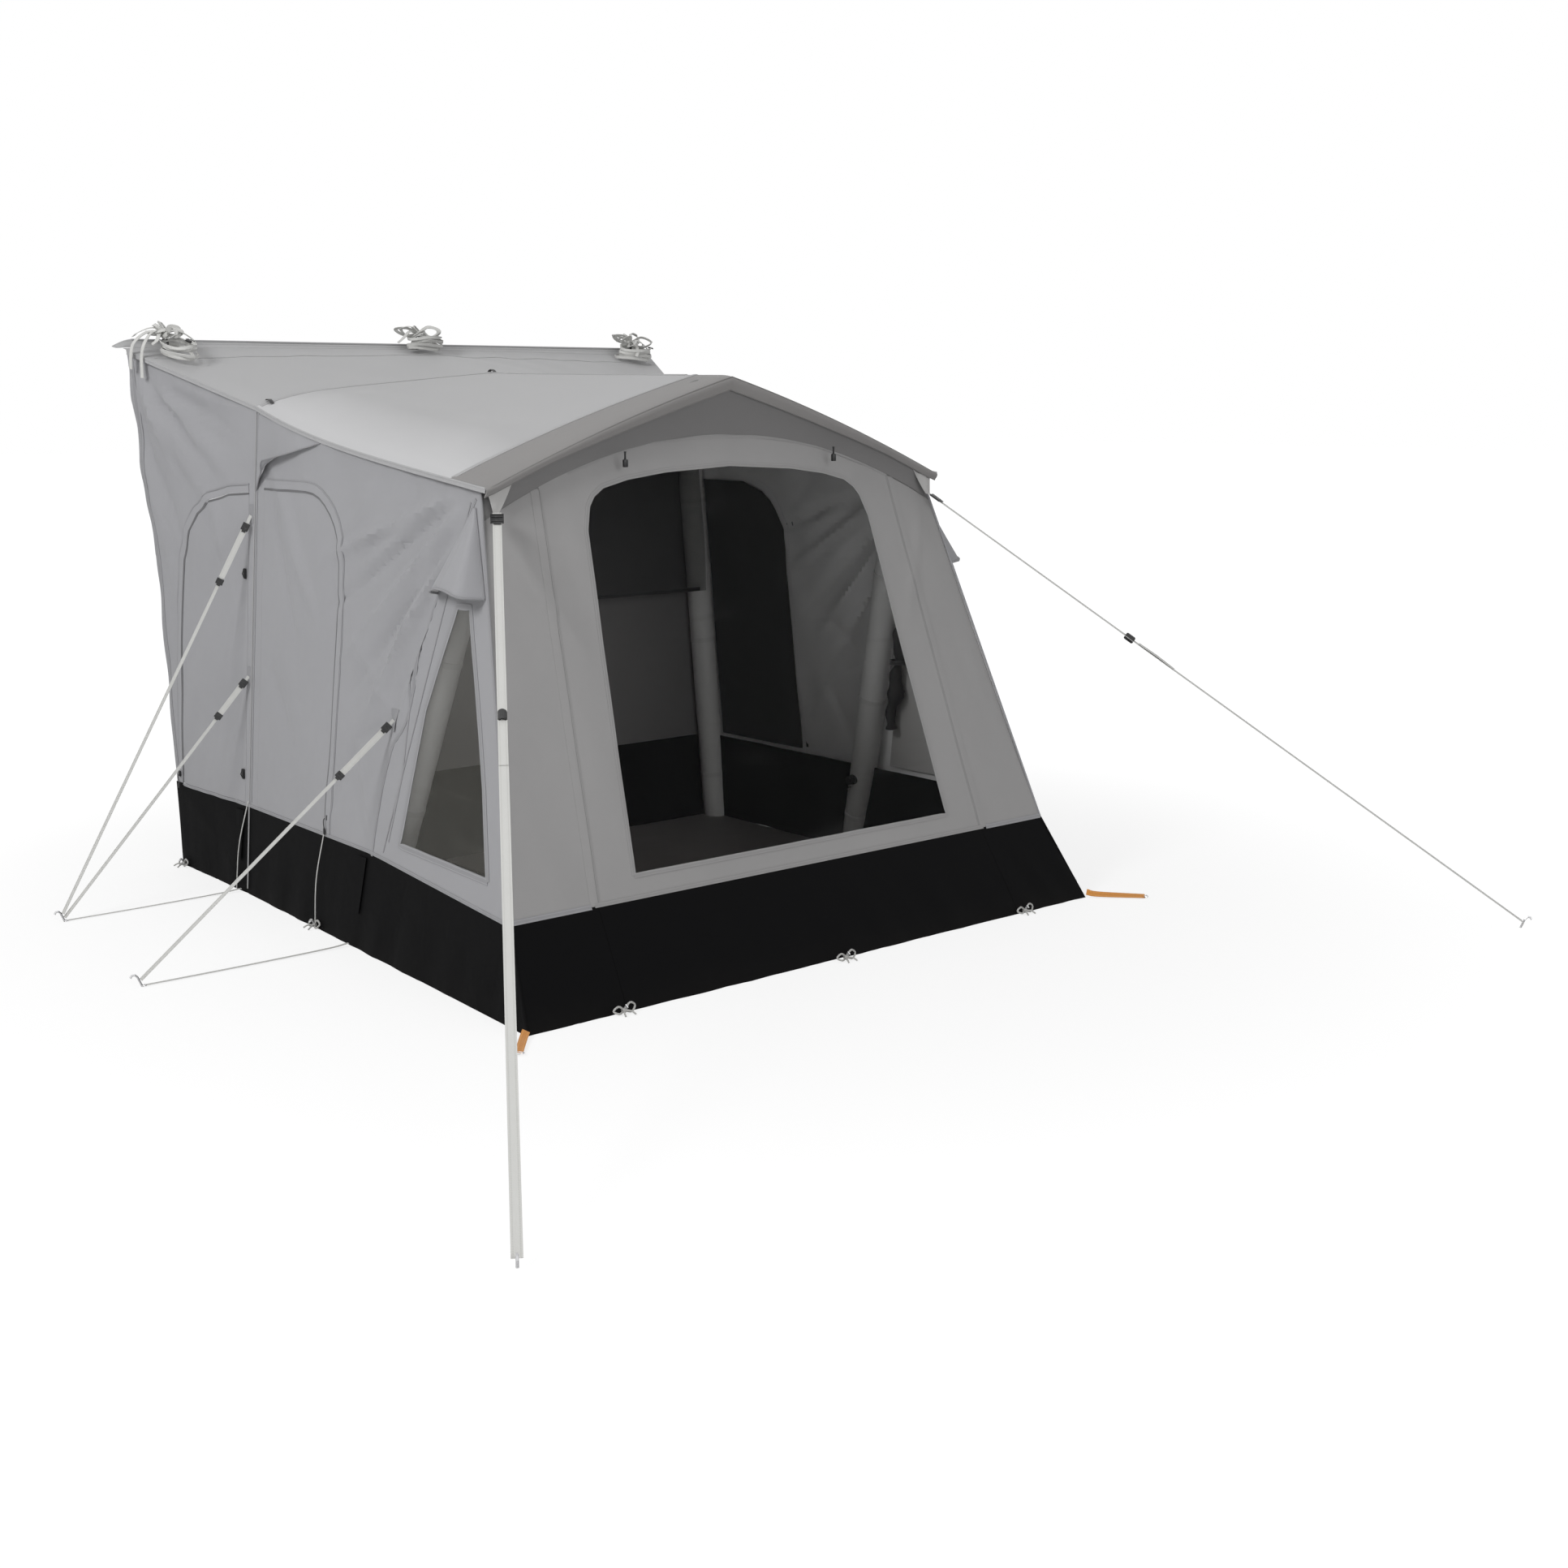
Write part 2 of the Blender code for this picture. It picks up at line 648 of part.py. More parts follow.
def front_row(z, reach):
    xs = [-f * reach for f in reversed(FRONT_XS[1:])] + [f * reach for f in FRONT_XS]
    return [Vector((x, front_y(x, z), z)) for x in xs]


corner_inner = CLOTH / 2 * 1.06 + GAP
front_rows = [front_row(z, corner_line(min(z, EAVE_Z))[0] + 0.02) for z in (0.308, 0.65, 1.0, 1.35, 1.70, 2.05)]
crown_path = [(c.x, c.z) for c, n in front_line if c.z > 1.55]
wall_outline = [(-corner_line(SKIRT_Z)[0] + corner_inner, SKIRT_Z + GAP),
                (corner_line(SKIRT_Z)[0] - corner_inner, SKIRT_Z + GAP),
                (corner_line(EAVE_Z)[0] - corner_inner, EAVE_Z)]
wall_outline += [p for p in crown_path]
wall_outline += [(-corner_line(EAVE_Z)[0] + corner_inner, EAVE_Z)]
front_zone = prism("front_zone", wall_outline, "Y", BEYOND_FRONT, 0.1, GUIDES)
panel_outline = [(-zip_x(SKIRT_Z), SKIRT_Z), (zip_x(SKIRT_Z), SKIRT_Z),
                 (zip_x(PANEL_CORNER_Z), PANEL_CORNER_Z)]
for share in (0.84, 0.64, 0.42, 0.2, 0.0, -0.2, -0.42, -0.64, -0.84):
    rise = (PANEL_TOP_Z - PANEL_CORNER_Z) * (1.0 - abs(share) ** 2.2)
    panel_outline.append((ZIP_TOP_X * share, PANEL_CORNER_Z + rise))
panel_outline.append((-zip_x(PANEL_CORNER_Z), PANEL_CORNER_Z))
panel_wide = [(-zip_x(0.2), 0.2), (zip_x(0.2), 0.2)] + panel_outline[2:]
panel_hole = prism("front_panel_hole", panel_wide, "Y", BEYOND_FRONT, 0.1, GUIDES)
panel_inner = [(p[0], p[1] + (GAP if i < 2 else 0.0)) for i, p in enumerate(inset(panel_outline, GAP))]
panel_zone = prism("front_panel_zone", panel_inner, "Y", BEYOND_FRONT, 0.1, GUIDES)
WINDOW_CURVE = ((0.0, 0.206), (0.025, 0.126), (0.050, 0.092), (0.095, 0.063), (0.20, 0.037), (0.36, 0.016))
window_right = [(WINDOW_TOP_X - dx, WINDOW_TOP_Z - dz) for dx, dz in WINDOW_CURVE]
window_line = [(-WINDOW_FOOT_X, WINDOW_FOOT_Z), (WINDOW_FOOT_X, WINDOW_FOOT_Z)] + window_right
window_line += [(0.0, WINDOW_TOP_Z)] + [(-x, z) for x, z in reversed(window_right)]
glass_hole = prism("front_window_hole", window_line, "Y", BEYOND_FRONT, 0.1, GUIDES)
glass_zone = prism("front_window_zone", inset(window_line, GAP), "Y", BEYOND_FRONT, 0.1, GUIDES)
front_wall = paint(sheet("front_wall", front_rows), (0.25, 0.25, 0.255))
boolean(front_wall, front_zone, "INTERSECT")
boolean(front_wall, front_cutter)
boolean(front_wall, panel_hole)
front_panel = paint(sheet("front_panel", front_rows), (0.25, 0.25, 0.255))
boolean(front_panel, panel_zone, "INTERSECT")
boolean(front_panel, glass_hole)
front_window = paint(sheet("front_window", front_rows, 0.003), (0.10, 0.10, 0.10), 0.15, alpha=0.35)
boolean(front_window, glass_zone, "INTERSECT")
foot_rows = []
for share in SKIRT_SHARES:
    z = share * SKIRT_Z
    cy = corner_line(z)[1]
    wide = zip_x(z) - GAP
    foot_rows.append([Vector((wide * f, cy, z)) for f in (-1.0, -0.5, 0.0, 0.5, 1.0)])
front_skirt = paint(sheet("front_skirt", foot_rows), (0.012, 0.012, 0.013))
boolean(front_skirt, ground)
boolean(front_skirt, skirt_trim)

# Rain hood over the side window
HOOD_APEX = (-0.425, 1.60)
HOOD_REAR = (-0.235, 1.292)
HOOD_FRONT = (-0.552, 1.297)
HOOD_BULGE = 0.12
hood_rows = []
for v in (0.06, 0.4, 0.75, 1.0):
    row = []
    for u in (-1.0, -0.9, -0.7, -0.4, 0.0, 0.4, 0.7, 0.9, 1.0):
        hem_y = mix(HOOD_FRONT[0], HOOD_REAR[0], (u + 1) / 2)
        hem_z = mix(HOOD_FRONT[1], HOOD_REAR[1], (u + 1) / 2) + 0.03 * (1 - u * u)
        y = mix(HOOD_APEX[0], hem_y, v)
        z = mix(HOOD_APEX[1], hem_z, v)
        out = GAP + 0.0015 + HOOD_BULGE * v ** 1.2 * (1 - u ** 4) ** 0.5 * (0.72 - 0.28 * u)
        row.append(Vector((outer(y, z)[0].x + out, y, z)))
    hood_rows.append(row)
rain_hood = sheet("rain_hood", hood_rows, 0.004)

# Gussets that tension the eaves
GUSSET = ((1.095, 1.878), (0.60, 1.775), (0.96, 1.705), (1.095, 1.583))
gusset_rows = []
for v in (0.0, 0.5, 1.0):
    row = []
    for u in (0.0, 0.5, 1.0):
        y = mix(mix(GUSSET[0][0], GUSSET[1][0], u), mix(GUSSET[3][0], GUSSET[2][0], u), v)
        z = mix(mix(GUSSET[0][1], GUSSET[1][1], u), mix(GUSSET[3][1], GUSSET[2][1], u), v)
        row.append(Vector((outer(y, z)[0].x + GAP + 0.0023 + 0.045 * u * v, y, z)))
    gusset_rows.append(row)
eave_gusset = sheet("eave_gusset", gusset_rows, 0.004)
FRONT_SKIN = skin_tree("front_skin", front_rows)


def front_outer(x, z):
    spot, normal, index, distance = FRONT_SKIN.ray_cast(Vector((x, -3.0, z)), Vector((0.0, 1.0, 0.0)))
    return spot


CORNER_TIP = (0.99, 1.57)
corner_rows = []
CORNER_BEHIND = 0.020
CANOPY_TREE = tree_of(canopy)


def under_canopy(x, y):
    hits = [CANOPY_TREE.ray_cast(Vector((x, y + d, 1.5)), Vector((0.0, 0.0, 1.0)))[0].z for d in (-0.003, 0.003)]
    return min(hits) - GAP * 1.5


for v in (0.0, 0.5, 1.0):
    row = []
    for u in (0.0, 0.5, 1.0):
        x = mix(mix(0.90, 1.012, u), mix(CORNER_TIP[0] - 0.02, CORNER_TIP[0] + 0.01, u), v)
        y = LIP_Y + CORNER_BEHIND
        z = mix(under_canopy(x, y), CORNER_TIP[1], v)
        tip_y = front_outer(x, CORNER_TIP[1]).y - GAP - 0.0324
        row.append(Vector((x, mix(y, tip_y, v), z)))
    corner_rows.append(row)
corner_gusset = sheet("corner_gusset", corner_rows, 0.004)

# Groundsheet, inner rear wall with its door, and the mesh curtain
floor_outline = [(-SHEET_HALF, SHEET_FRONT_Y), (SHEET_HALF, SHEET_FRONT_Y), (SHEET_HALF, SEAM_Y),
                 (-SHEET_HALF, SEAM_Y)]
groundsheet = paint(prism("groundsheet", floor_outline, "Z", 0.0, SHEET_THICK), (0.09, 0.075, 0.062))


def rear_edge(z):
    return side_x(REAR_WALL_Y, z) - CLOTH / 2 * 1.01 - GAP


rear_outline = [(rear_edge(z) * s, z) for s, zs in ((1, (SHEET_THICK + GAP, 1.0, 1.90)), (-1, (1.90, 1.0,
                SHEET_THICK + GAP))) for z in zs]
rear_outline = rear_outline[:3] + [(0.0, 2.1)] + rear_outline[3:]
rear_wall = paint(prism("rear_wall", rear_outline, "Y", REAR_WALL_Y - 0.0025, REAR_WALL_Y + 0.0025),
                  (0.035, 0.035, 0.036))
door_line = [(-REAR_DOOR_HALF, 0.10), (REAR_DOOR_HALF, 0.10)]
door_line += arc((REAR_DOOR_HALF - 0.2, REAR_DOOR_Z - 0.2), 0.2, 0, 90, 4)
door_line += arc((0.2 - REAR_DOOR_HALF, REAR_DOOR_Z - 0.2), 0.2, 90, 180, 4)
rear_hole = prism("rear_door_hole", door_line, "Y", 0.9, 1.3, GUIDES)
boolean(rear_wall, rear_hole)
boolean(rear_wall, sky)
rear_door = paint(prism("rear_door", inset(door_line, GAP), "Y", REAR_WALL_Y - 0.0025, REAR_WALL_Y + 0.0025),
                  (0.045, 0.045, 0.046))
curtain_y = REAR_HOOP_Y - REAR_HOOP_RADIUS - GAP - 0.0015
curtain_path = [(c.x, c.z) for c, n in rear_line if c.z > CURTAIN_Z]
curtain_foot = side_x(curtain_y, CURTAIN_Z) - 0.07
curtain_line = [(-curtain_foot, CURTAIN_Z), (curtain_foot, CURTAIN_Z)] + curtain_path
curtain = paint(prism("mesh_curtain", curtain_line, "Y", curtain_y - 0.0015, curtain_y + 0.0015),
                (0.012, 0.012, 0.012), 0.9, alpha=0.79)
boolean(curtain, brace_cutter)

# Air valve on the front hoop
VALVE_Z = 0.45
valve_spot, valve_normal = front_line[1]
valve_out = -valve_normal
valve_turn = Vector((0.0, 0.0, 1.0)).rotation_difference(valve_out).to_matrix().to_4x4()


def turned(name, rings, sides, place):
    points = []
    faces = []
    for z, r in rings:
        for k in range(sides):
            turn = 2 * math.pi * k / sides
            points.append(place @ Vector((r * math.cos(turn), r * math.sin(turn), z)))
    for i in range(len(rings) - 1):
        for k in range(sides):
            a = i * sides + k
            b = i * sides + (k + 1) % sides
            faces.append((a, a + sides, b + sides, b))
    faces.append(tuple(range(sides)))
    faces.append(tuple(range(len(points) - 1, len(points) - sides - 1, -1)))
    return from_faces(name, points, faces)


valve_place = Matrix.Translation(valve_spot) @ valve_turn
valve_rings = [(HOOP_RADIUS * 0.90, 0.022), (HOOP_RADIUS + 0.008, 0.022), (HOOP_RADIUS + 0.010, 0.016),
               (HOOP_RADIUS + 0.018, 0.016)]
valve = paint(turned("inflation_valve", valve_rings, 12, valve_place), (0.02, 0.02, 0.02), 0.5)
boolean(valve, front_cutter)
CAP_LOW = HOOP_RADIUS + 0.018 + GAP
cap_rings = [(CAP_LOW, 0.019), (CAP_LOW + 0.007, 0.019), (CAP_LOW + 0.009, 0.016)]
valve_cap = paint(turned("valve_cap", cap_rings, 12, valve_place), (0.02, 0.02, 0.02), 0.5)


# Tied strap hanks on the tunnel roof
HANK_TUBE = 0.0055
HANK_LOOPS = 4


def tube(name, points, radius, caps=True, around=1, group=None):
    data = bpy.data.curves.new(name, "CURVE")
    data.dimensions = "3D"
    data.bevel_depth = radius
    data.bevel_resolution = around
    data.use_fill_caps = caps
    data.twist_mode = "MINIMUM"
    spline = data.splines.new("POLY")
    spline.points.add(len(points) - 1)
    for slot, p in zip(spline.points, points):
        slot.co = (p[0], p[1], p[2], 1.0)
    shape = bpy.data.objects.new(name, data)
    bpy.context.scene.collection.objects.link(shape)
    mesh = finished_mesh(shape)
    bpy.data.objects.remove(shape, do_unlink=True)
    weld = bmesh.new()
    weld.from_mesh(mesh)
    bmesh.ops.remove_doubles(weld, verts=weld.verts, dist=0.00005)
    bmesh.ops.recalc_face_normals(weld, faces=weld.faces)
    weld.to_mesh(mesh)
    weld.free()
    return add(name, mesh, group)


def hank_path(x0, y0, half_a, half_b, yaw):
    slope_x = (tunnel_z(x0 + 0.02, y0) - tunnel_z(x0 - 0.02, y0)) / 0.04
    slope_y = (tunnel_z(x0, y0 + 0.02) - tunnel_z(x0, y0 - 0.02)) / 0.04
    up = Vector((-slope_x, -slope_y, 1.0)).normalized()
    first = Vector((math.cos(yaw), math.sin(yaw), 0.0))
    first = (first - up * first.dot(up)).normalized()
    second = up.cross(first)
    base = Vector((x0, y0, tunnel_z(x0, y0))) + up * (CLOTH / 2 + 2 * GAP + HANK_TUBE)
    path = []
    steps = 20
    pitch = 2 * HANK_TUBE + 0.0035
    for i in range(steps * HANK_LOOPS + 1):
        turn = 2 * math.pi * i / steps
        wobble = 1.0 + 0.05 * math.sin(0.9 * turn)
        lift = pitch * i / steps
        path.append(base + first * half_a * wobble * math.cos(turn) + second * half_b * wobble
                    * math.sin(turn) + up * lift)
    return path


ROOF_TREE = tree_of(tunnel_roof)


def seated(path, tree, radius, up):
    low = -0.02
    high = 0.02
    for step in range(30):
        middle = (low + high) / 2
        least = min(tree.find_nearest(p + up * middle)[3] for p in path[::2])
        if least < radius:
            low = middle
        else:
            high = middle
    return [p + up * high for p in path]


HANKS = (("left", -1.13, 1.60, 0.05, 0.095, 0.15), ("centre", 0.02, 1.66, 0.075, 0.05, 0.2),
         ("right", 1.13, 1.64, 0.085, 0.05, -0.1))
for label, x0, y0, half_a, half_b, yaw in HANKS:
    path = hank_path(x0, y0, half_a, half_b, yaw)
    path = seated(path, ROOF_TREE, HANK_TUBE + 0.0001, Vector((0.0, 0.0, 1.0)))
    least = 1.0
    for i in range(len(path) - 1):
        for j in range(i + 8, len(path) - 1):
            least = min(least, (path[i] - path[j]).length)
    print("hank", label, "least gap to itself mm", round((least - 2 * HANK_TUBE) * 1000, 2))
    paint(tube("strap_hank_" + label, path, HANK_TUBE), (0.72, 0.72, 0.70))


# Pegs, guy lines and their runners
def peg(name, place, away):
    lean = Vector((away[0], away[1], 0.0)).normalized()
    foot = Vector((place[0], place[1], 0.0))
    points = [foot - lean * 0.004 + Vector((0, 0, -0.010)), foot + lean * 0.014 + Vector((0, 0, 0.035)),
              foot + lean * 0.022 + Vector((0, 0, 0.043)), foot + lean * 0.032 + Vector((0, 0, 0.042)),
              foot + lean * 0.037 + Vector((0, 0, 0.034))]
    body = tube(name, points, PEG_RADIUS, around=1)
    return boolean(body, ground)


def touch(tree, fixed, goal, radius):
    along = (goal - fixed).normalized()
    side = along.orthogonal().normalized()
    other = along.cross(side)
    ring = [radius * (math.cos(k * math.pi / 6) * side + math.sin(k * math.pi / 6) * other) for k in range(12)]
    reach = (goal - fixed).length - 0.05
    while min(tree.find_nearest(fixed + along * reach + r)[3] for r in ring + [Vector()]) > GAP + 0.0001:
        reach += 0.0001
    return fixed + along * reach


def rope(name, start_tree, start, end_tree, end, radius):
    a = touch(start_tree, end, start, radius)
    b = touch(end_tree, start, end, radius)
    return tube(name, [a, a.lerp(b, 0.5), b], radius, around=1), a, b


front_peg = peg("front_peg", FRONT_PEG, FRONT_AWAY)
rear_peg = peg("rear_peg", REAR_PEG, REAR_AWAY)
mid_peg = peg("mid_peg", MID_PEG, MID_AWAY)


def on_peg(place, away, height):
    lean = Vector((away[0], away[1], 0.0)).normalized()
    return Vector((place[0], place[1], height)) + lean * 0.4 * height


FRONT_PEG_TREE = tree_of(front_peg)
REAR_PEG_TREE = tree_of(rear_peg)
MID_PEG_TREE = tree_of(mid_peg)
tip_x = CORNER_TIP[0] - 0.005
tip = Vector((tip_x, front_outer(tip_x, CORNER_TIP[1]).y - 0.033, CORNER_TIP[1] + 0.004))
front_guy, front_start, front_end = rope("front_guy", tree_of(corner_gusset), tip, FRONT_PEG_TREE,
                                         on_peg(FRONT_PEG, FRONT_AWAY, 0.022), STRAP_RADIUS)
GUY_SEAM_Y = SEAM_Y + 0.018
upper_guy = rope("upper_guy", TUNNEL_SKIN, outer(GUY_SEAM_Y, 1.50)[0], REAR_PEG_TREE,
                 on_peg(REAR_PEG, REAR_AWAY, 0.024), LINE_RADIUS)[0]
lower_guy = rope("lower_guy", TUNNEL_SKIN, outer(GUY_SEAM_Y, 0.87)[0], REAR_PEG_TREE,
                 on_peg(REAR_PEG, REAR_AWAY, 0.011), LINE_RADIUS)[0]
middle_guy = rope("middle_guy", CABIN_SKIN, outer(-0.02, 0.84)[0], MID_PEG_TREE,
                  on_peg(MID_PEG, MID_AWAY, 0.020), LINE_RADIUS)[0]
RUNNER_SHARE = 0.35
runner_spot = front_start.lerp(front_end, RUNNER_SHARE)
runner_axis = (front_end - front_start).normalized()
runner_turn = Vector((0.0, 0.0, 1.0)).rotation_difference(runner_axis).to_matrix().to_4x4()
runner_place = Matrix.Translation(runner_spot) @ runner_turn
runner_clear = loft("runner_clear", [(front_start, Vector((0, 0, 1))), (front_end, Vector((0, 0, 1)))],
                    STRAP_RADIUS + GAP, 12, GUIDES)
runner = turned("guy_runner", [(-0.020, 0.011), (-0.016, 0.014), (0.016, 0.014), (0.020, 0.011)], 12,
                runner_place)
boolean(runner, runner_clear)


# Zip sliders of the doors: each stands beside the zip on the fixed wall
def slider(name, y, z, tall, along, low=GAP):
    point, normal = outer(y, z)
    up = Vector((0.0, along[0], along[1])).normalized()
    up = (up - normal * up.dot(normal)).normalized()
    across = up.cross(normal)
    base = []
    for lift, wide, high in ((low, 0.007, tall), (low + 0.004, 0.007, tall), (low + 0.006, 0.004, tall * 0.7)):
        for a, b in ((-1, -1), (1, -1), (1, 1), (-1, 1)):
            base.append(point + normal * lift + across * wide * a + up * high * b)
    faces = [(3, 2, 1, 0), (8, 9, 10, 11)]
    for layer in (0, 4):
        for k in range(4):
            faces.append((layer + k, layer + (k + 1) % 4, layer + 4 + (k + 1) % 4, layer + 4 + k))
    return from_faces(name, base, faces)


door_slider = slider("door_slider", DOOR_FRONT_Y - 0.009, 0.42, 0.012, (0.0, 1.0))
tunnel_slider = slider("tunnel_slider", TUNNEL_DOOR_REAR_Y + 0.006, 0.40, 0.012, (-0.142, 1.0),
                       GAP + COIL_HEIGHT)

# Mirror every side piece and give each its own colour
GREY = (0.355, 0.355, 0.365)
SIDE_PIECES = (
    (side_wall, GREY, 0.85, 1.0), (side_skirt, (0.014, 0.014, 0.015), 0.8, 1.0),
    (side_window, (0.12, 0.12, 0.11), 0.15, 0.4), (side_door, (0.35, 0.35, 0.36), 0.85, 1.0),
    (tunnel_wall, (0.33, 0.33, 0.34), 0.85, 1.0), (tunnel_door, (0.345, 0.345, 0.355), 0.85, 1.0),
    (rain_hood, (0.34, 0.34, 0.345), 0.8, 1.0), (eave_gusset, (0.33, 0.33, 0.335), 0.8, 1.0),
    (corner_gusset, (0.30, 0.30, 0.30), 0.8, 1.0), (front_guy, (0.70, 0.70, 0.68), 0.7, 1.0),
    (upper_guy, (0.74, 0.74, 0.72), 0.7, 1.0), (lower_guy, (0.73, 0.73, 0.71), 0.7, 1.0),
    (middle_guy, (0.72, 0.72, 0.70), 0.7, 1.0), (runner, (0.02, 0.02, 0.02), 0.4, 1.0),
    (door_slider, (0.05, 0.05, 0.05), 0.35, 1.0), (tunnel_slider, (0.05, 0.05, 0.05), 0.35, 1.0),
    (front_peg, (0.60, 0.60, 0.60), 0.3, 1.0), (rear_peg, (0.60, 0.60, 0.60), 0.3, 1.0),
    (mid_peg, (0.60, 0.60, 0.60), 0.3, 1.0))
for piece, colour, rough, alpha in SIDE_PIECES:
    for twin in both_sides(piece):
        metal = 1.0 if "peg" in twin.name else 0.0
        paint(twin, colour, rough, metal, alpha)


# Moving pieces keep their origin on the joint axis
def set_origin(name, spot):
    body = bpy.data.objects[name]
    if body.modifiers:
        bake(body)
    body.data = body.data.copy()
    body.data.transform(Matrix.Translation(-Vector(spot)))
    body.location = spot


door_axis_z = 0.95
door_x = side_x(DOOR_REAR_Y, door_axis_z)
tunnel_hinge_x = side_x(TUNNEL_DOOR_FRONT_Y, door_axis_z)
for sign, side in ((1, "right"), (-1, "left")):
    set_origin("side_door_" + side, (sign * (door_x + CLOTH / 2 + HINGE_OUT), DOOR_REAR_Y, door_axis_z))
    hinge_x = tunnel_hinge_x + CLOTH / 2 + HINGE_OUT
    set_origin("tunnel_door_" + side, (sign * hinge_x, TUNNEL_DOOR_FRONT_Y, door_axis_z))
set_origin("front_panel", (0.0, front_y(0.0, PANEL_TOP_Z) - CLOTH / 2, PANEL_TOP_Z))
set_origin("rear_door", (-REAR_DOOR_HALF, REAR_WALL_Y + 0.0025, 0.9))
set_origin("valve_cap", tuple(valve_spot + valve_out * CAP_LOW))
for block in GUIDES.objects:
    block.hide_render = True
    block.display_type = "WIRE"
for body in PARTS.objects:
    if body.type == "MESH" and not body.modifiers:
        body.data.update()
print("pieces", len(PARTS.objects))
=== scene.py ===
import math

import bmesh
import bpy
from bpy.props import FloatProperty, FloatVectorProperty, PointerProperty
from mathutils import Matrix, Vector, noise


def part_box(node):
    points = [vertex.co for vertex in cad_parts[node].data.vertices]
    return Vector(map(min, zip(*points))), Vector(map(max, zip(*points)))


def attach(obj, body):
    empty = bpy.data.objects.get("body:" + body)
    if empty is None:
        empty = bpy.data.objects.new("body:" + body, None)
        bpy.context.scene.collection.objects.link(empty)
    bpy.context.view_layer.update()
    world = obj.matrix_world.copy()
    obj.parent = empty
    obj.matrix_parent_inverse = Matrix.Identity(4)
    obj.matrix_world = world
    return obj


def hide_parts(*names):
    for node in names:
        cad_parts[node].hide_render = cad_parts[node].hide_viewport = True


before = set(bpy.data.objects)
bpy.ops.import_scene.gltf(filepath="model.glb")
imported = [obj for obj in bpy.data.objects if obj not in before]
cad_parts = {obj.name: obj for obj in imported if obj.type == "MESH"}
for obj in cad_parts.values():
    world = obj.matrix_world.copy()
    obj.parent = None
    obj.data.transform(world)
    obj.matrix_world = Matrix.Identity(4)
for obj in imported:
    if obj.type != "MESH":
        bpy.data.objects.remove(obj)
for spare in ("Cube", "Light", "Camera"):
    if spare in bpy.data.objects:
        bpy.data.objects.remove(bpy.data.objects[spare], do_unlink=True)
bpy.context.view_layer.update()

bl_info = {
    "name": "Driveaway awning",
    "version": (1, 0, 0),
    "blender": (4, 5, 0),
    "location": "3D View > Sidebar > Awning",
    "description": "Dresses the packed awning frame with cloth, film, webbing and fittings",
    "category": "Object",
}

SIDES = ((1, "right"), (-1, "left"))
UP, FRONTWARD = Vector((0, 0, 1)), Vector((0, -1, 0))

# Places and sizes in metres. A wall's line goes from its foot to its top; a rise is the height over which it leans.
FOOT_X, FOOT_Y = 1.30, -1.10                            # front corner at the ground
SKIRT_X, SKIRT_Y, SKIRT_Z = 1.234, -0.913, 0.308        # front corner where the skirt meets the wall
EAVE_X, EAVE_Y, CORNER_RISE = 1.004, -0.443, 1.34       # front corner at the eave
SIDE_SKIRT_Z, SKIRT_RUN = 0.36, 1.013                   # the side skirt's full height, and the length of its slope
LEG_FOOT_X, LEG_FOOT_Y = 1.235, 0.10                    # leg of the front hoop
LEG_TOP_Y, LEG_TOP_Z = -0.41, 1.648
SEAM_FOOT_X, SEAM_TOP_X, SEAM_TOP_Z = 1.19, 1.04, 1.907     # seam between cabin and tunnel
SEAM_Y, TUNNEL_Y = 1.10, 1.74
RAIL_FOOT_X, RAIL_X, RAIL_Z = 1.18, 1.29, 2.142         # rear edge of the tunnel
KNEE_X, KNEE_Z, KNEE_RISE = 1.215, 1.30, 0.842
FRONT_LEAN, FRONT_BOW = 0.303, 0.048                    # slope of the front, and what is added towards its sides
FRONT_RIDGE_Z, FRONT_FALL = 2.015, 0.364                # roof over the front hoop
REAR_RIDGE_Z, REAR_FALL = 2.037, 0.13                   # roof over the rear hoop
LIP_X, LIP_Y, BAND_Y, CROWN_Y = 1.02, -0.512, -0.30, -0.40
LIP_DROP = 0.045
ZIP_CORNER_Z = 1.645
ARCH_TOP_Z, ARCH_FALL = 1.807, 0.255                    # arch seam over the front panel
OUT = 0.0025          # outer face of a cloth panel over its middle surface
FILM_BACK = 0.0008    # outer face of a window film behind that of the cloth round it
RIBBON_GAP = 0.03     # distance between two rings of a strip on a surface
HANK_WIDTH = 0.0125
GROUND_STRAP, CORNER_STRAP = 0.012, 0.026
WEBBING_THICK = 0.0015
FRONT_TUBE, REAR_TUBE, BRACE_TUBE = 0.058, 0.055, 0.045     # radii of the air tubes
REAR_HOOP_Y = 1.035
DOOR_FOOT_Z, DOOR_BEND = 0.362, 0.27                    # side door: foot of its zip, radius of its corner
SKIRT_GRID = 0.034


# Reference surfaces of the cabin, the same as in the part's source
def mix(a, b, t):
    """Value between a and b at the share t."""
    return a + (b - a) * t


def corner_line(z):
    """Front corner of the cabin at a height: x and y."""
    if z <= SKIRT_Z:
        return mix(FOOT_X, SKIRT_X, z / SKIRT_Z), mix(FOOT_Y, SKIRT_Y, z / SKIRT_Z)
    t = min(1.0, (z - SKIRT_Z) / CORNER_RISE)
    return mix(SKIRT_X, EAVE_X, t), mix(SKIRT_Y, EAVE_Y, t)


def leg_line(z):
    """Line of the front hoop's leg in the side wall."""
    t = min(1.0, z / LEG_TOP_Z)
    return mix(LEG_FOOT_X, EAVE_X, t), mix(LEG_FOOT_Y, LEG_TOP_Y, t)


def seam_x(z):
    """Half width of the cabin at its seam with the tunnel."""
    return mix(SEAM_FOOT_X, SEAM_TOP_X, z / SEAM_TOP_Z)


def tunnel_x(z):
    """Half width of the tunnel at its rear edge."""
    if z < KNEE_Z:
        return mix(RAIL_FOOT_X, KNEE_X, z / KNEE_Z)
    return mix(KNEE_X, RAIL_X, (z - KNEE_Z) / KNEE_RISE)


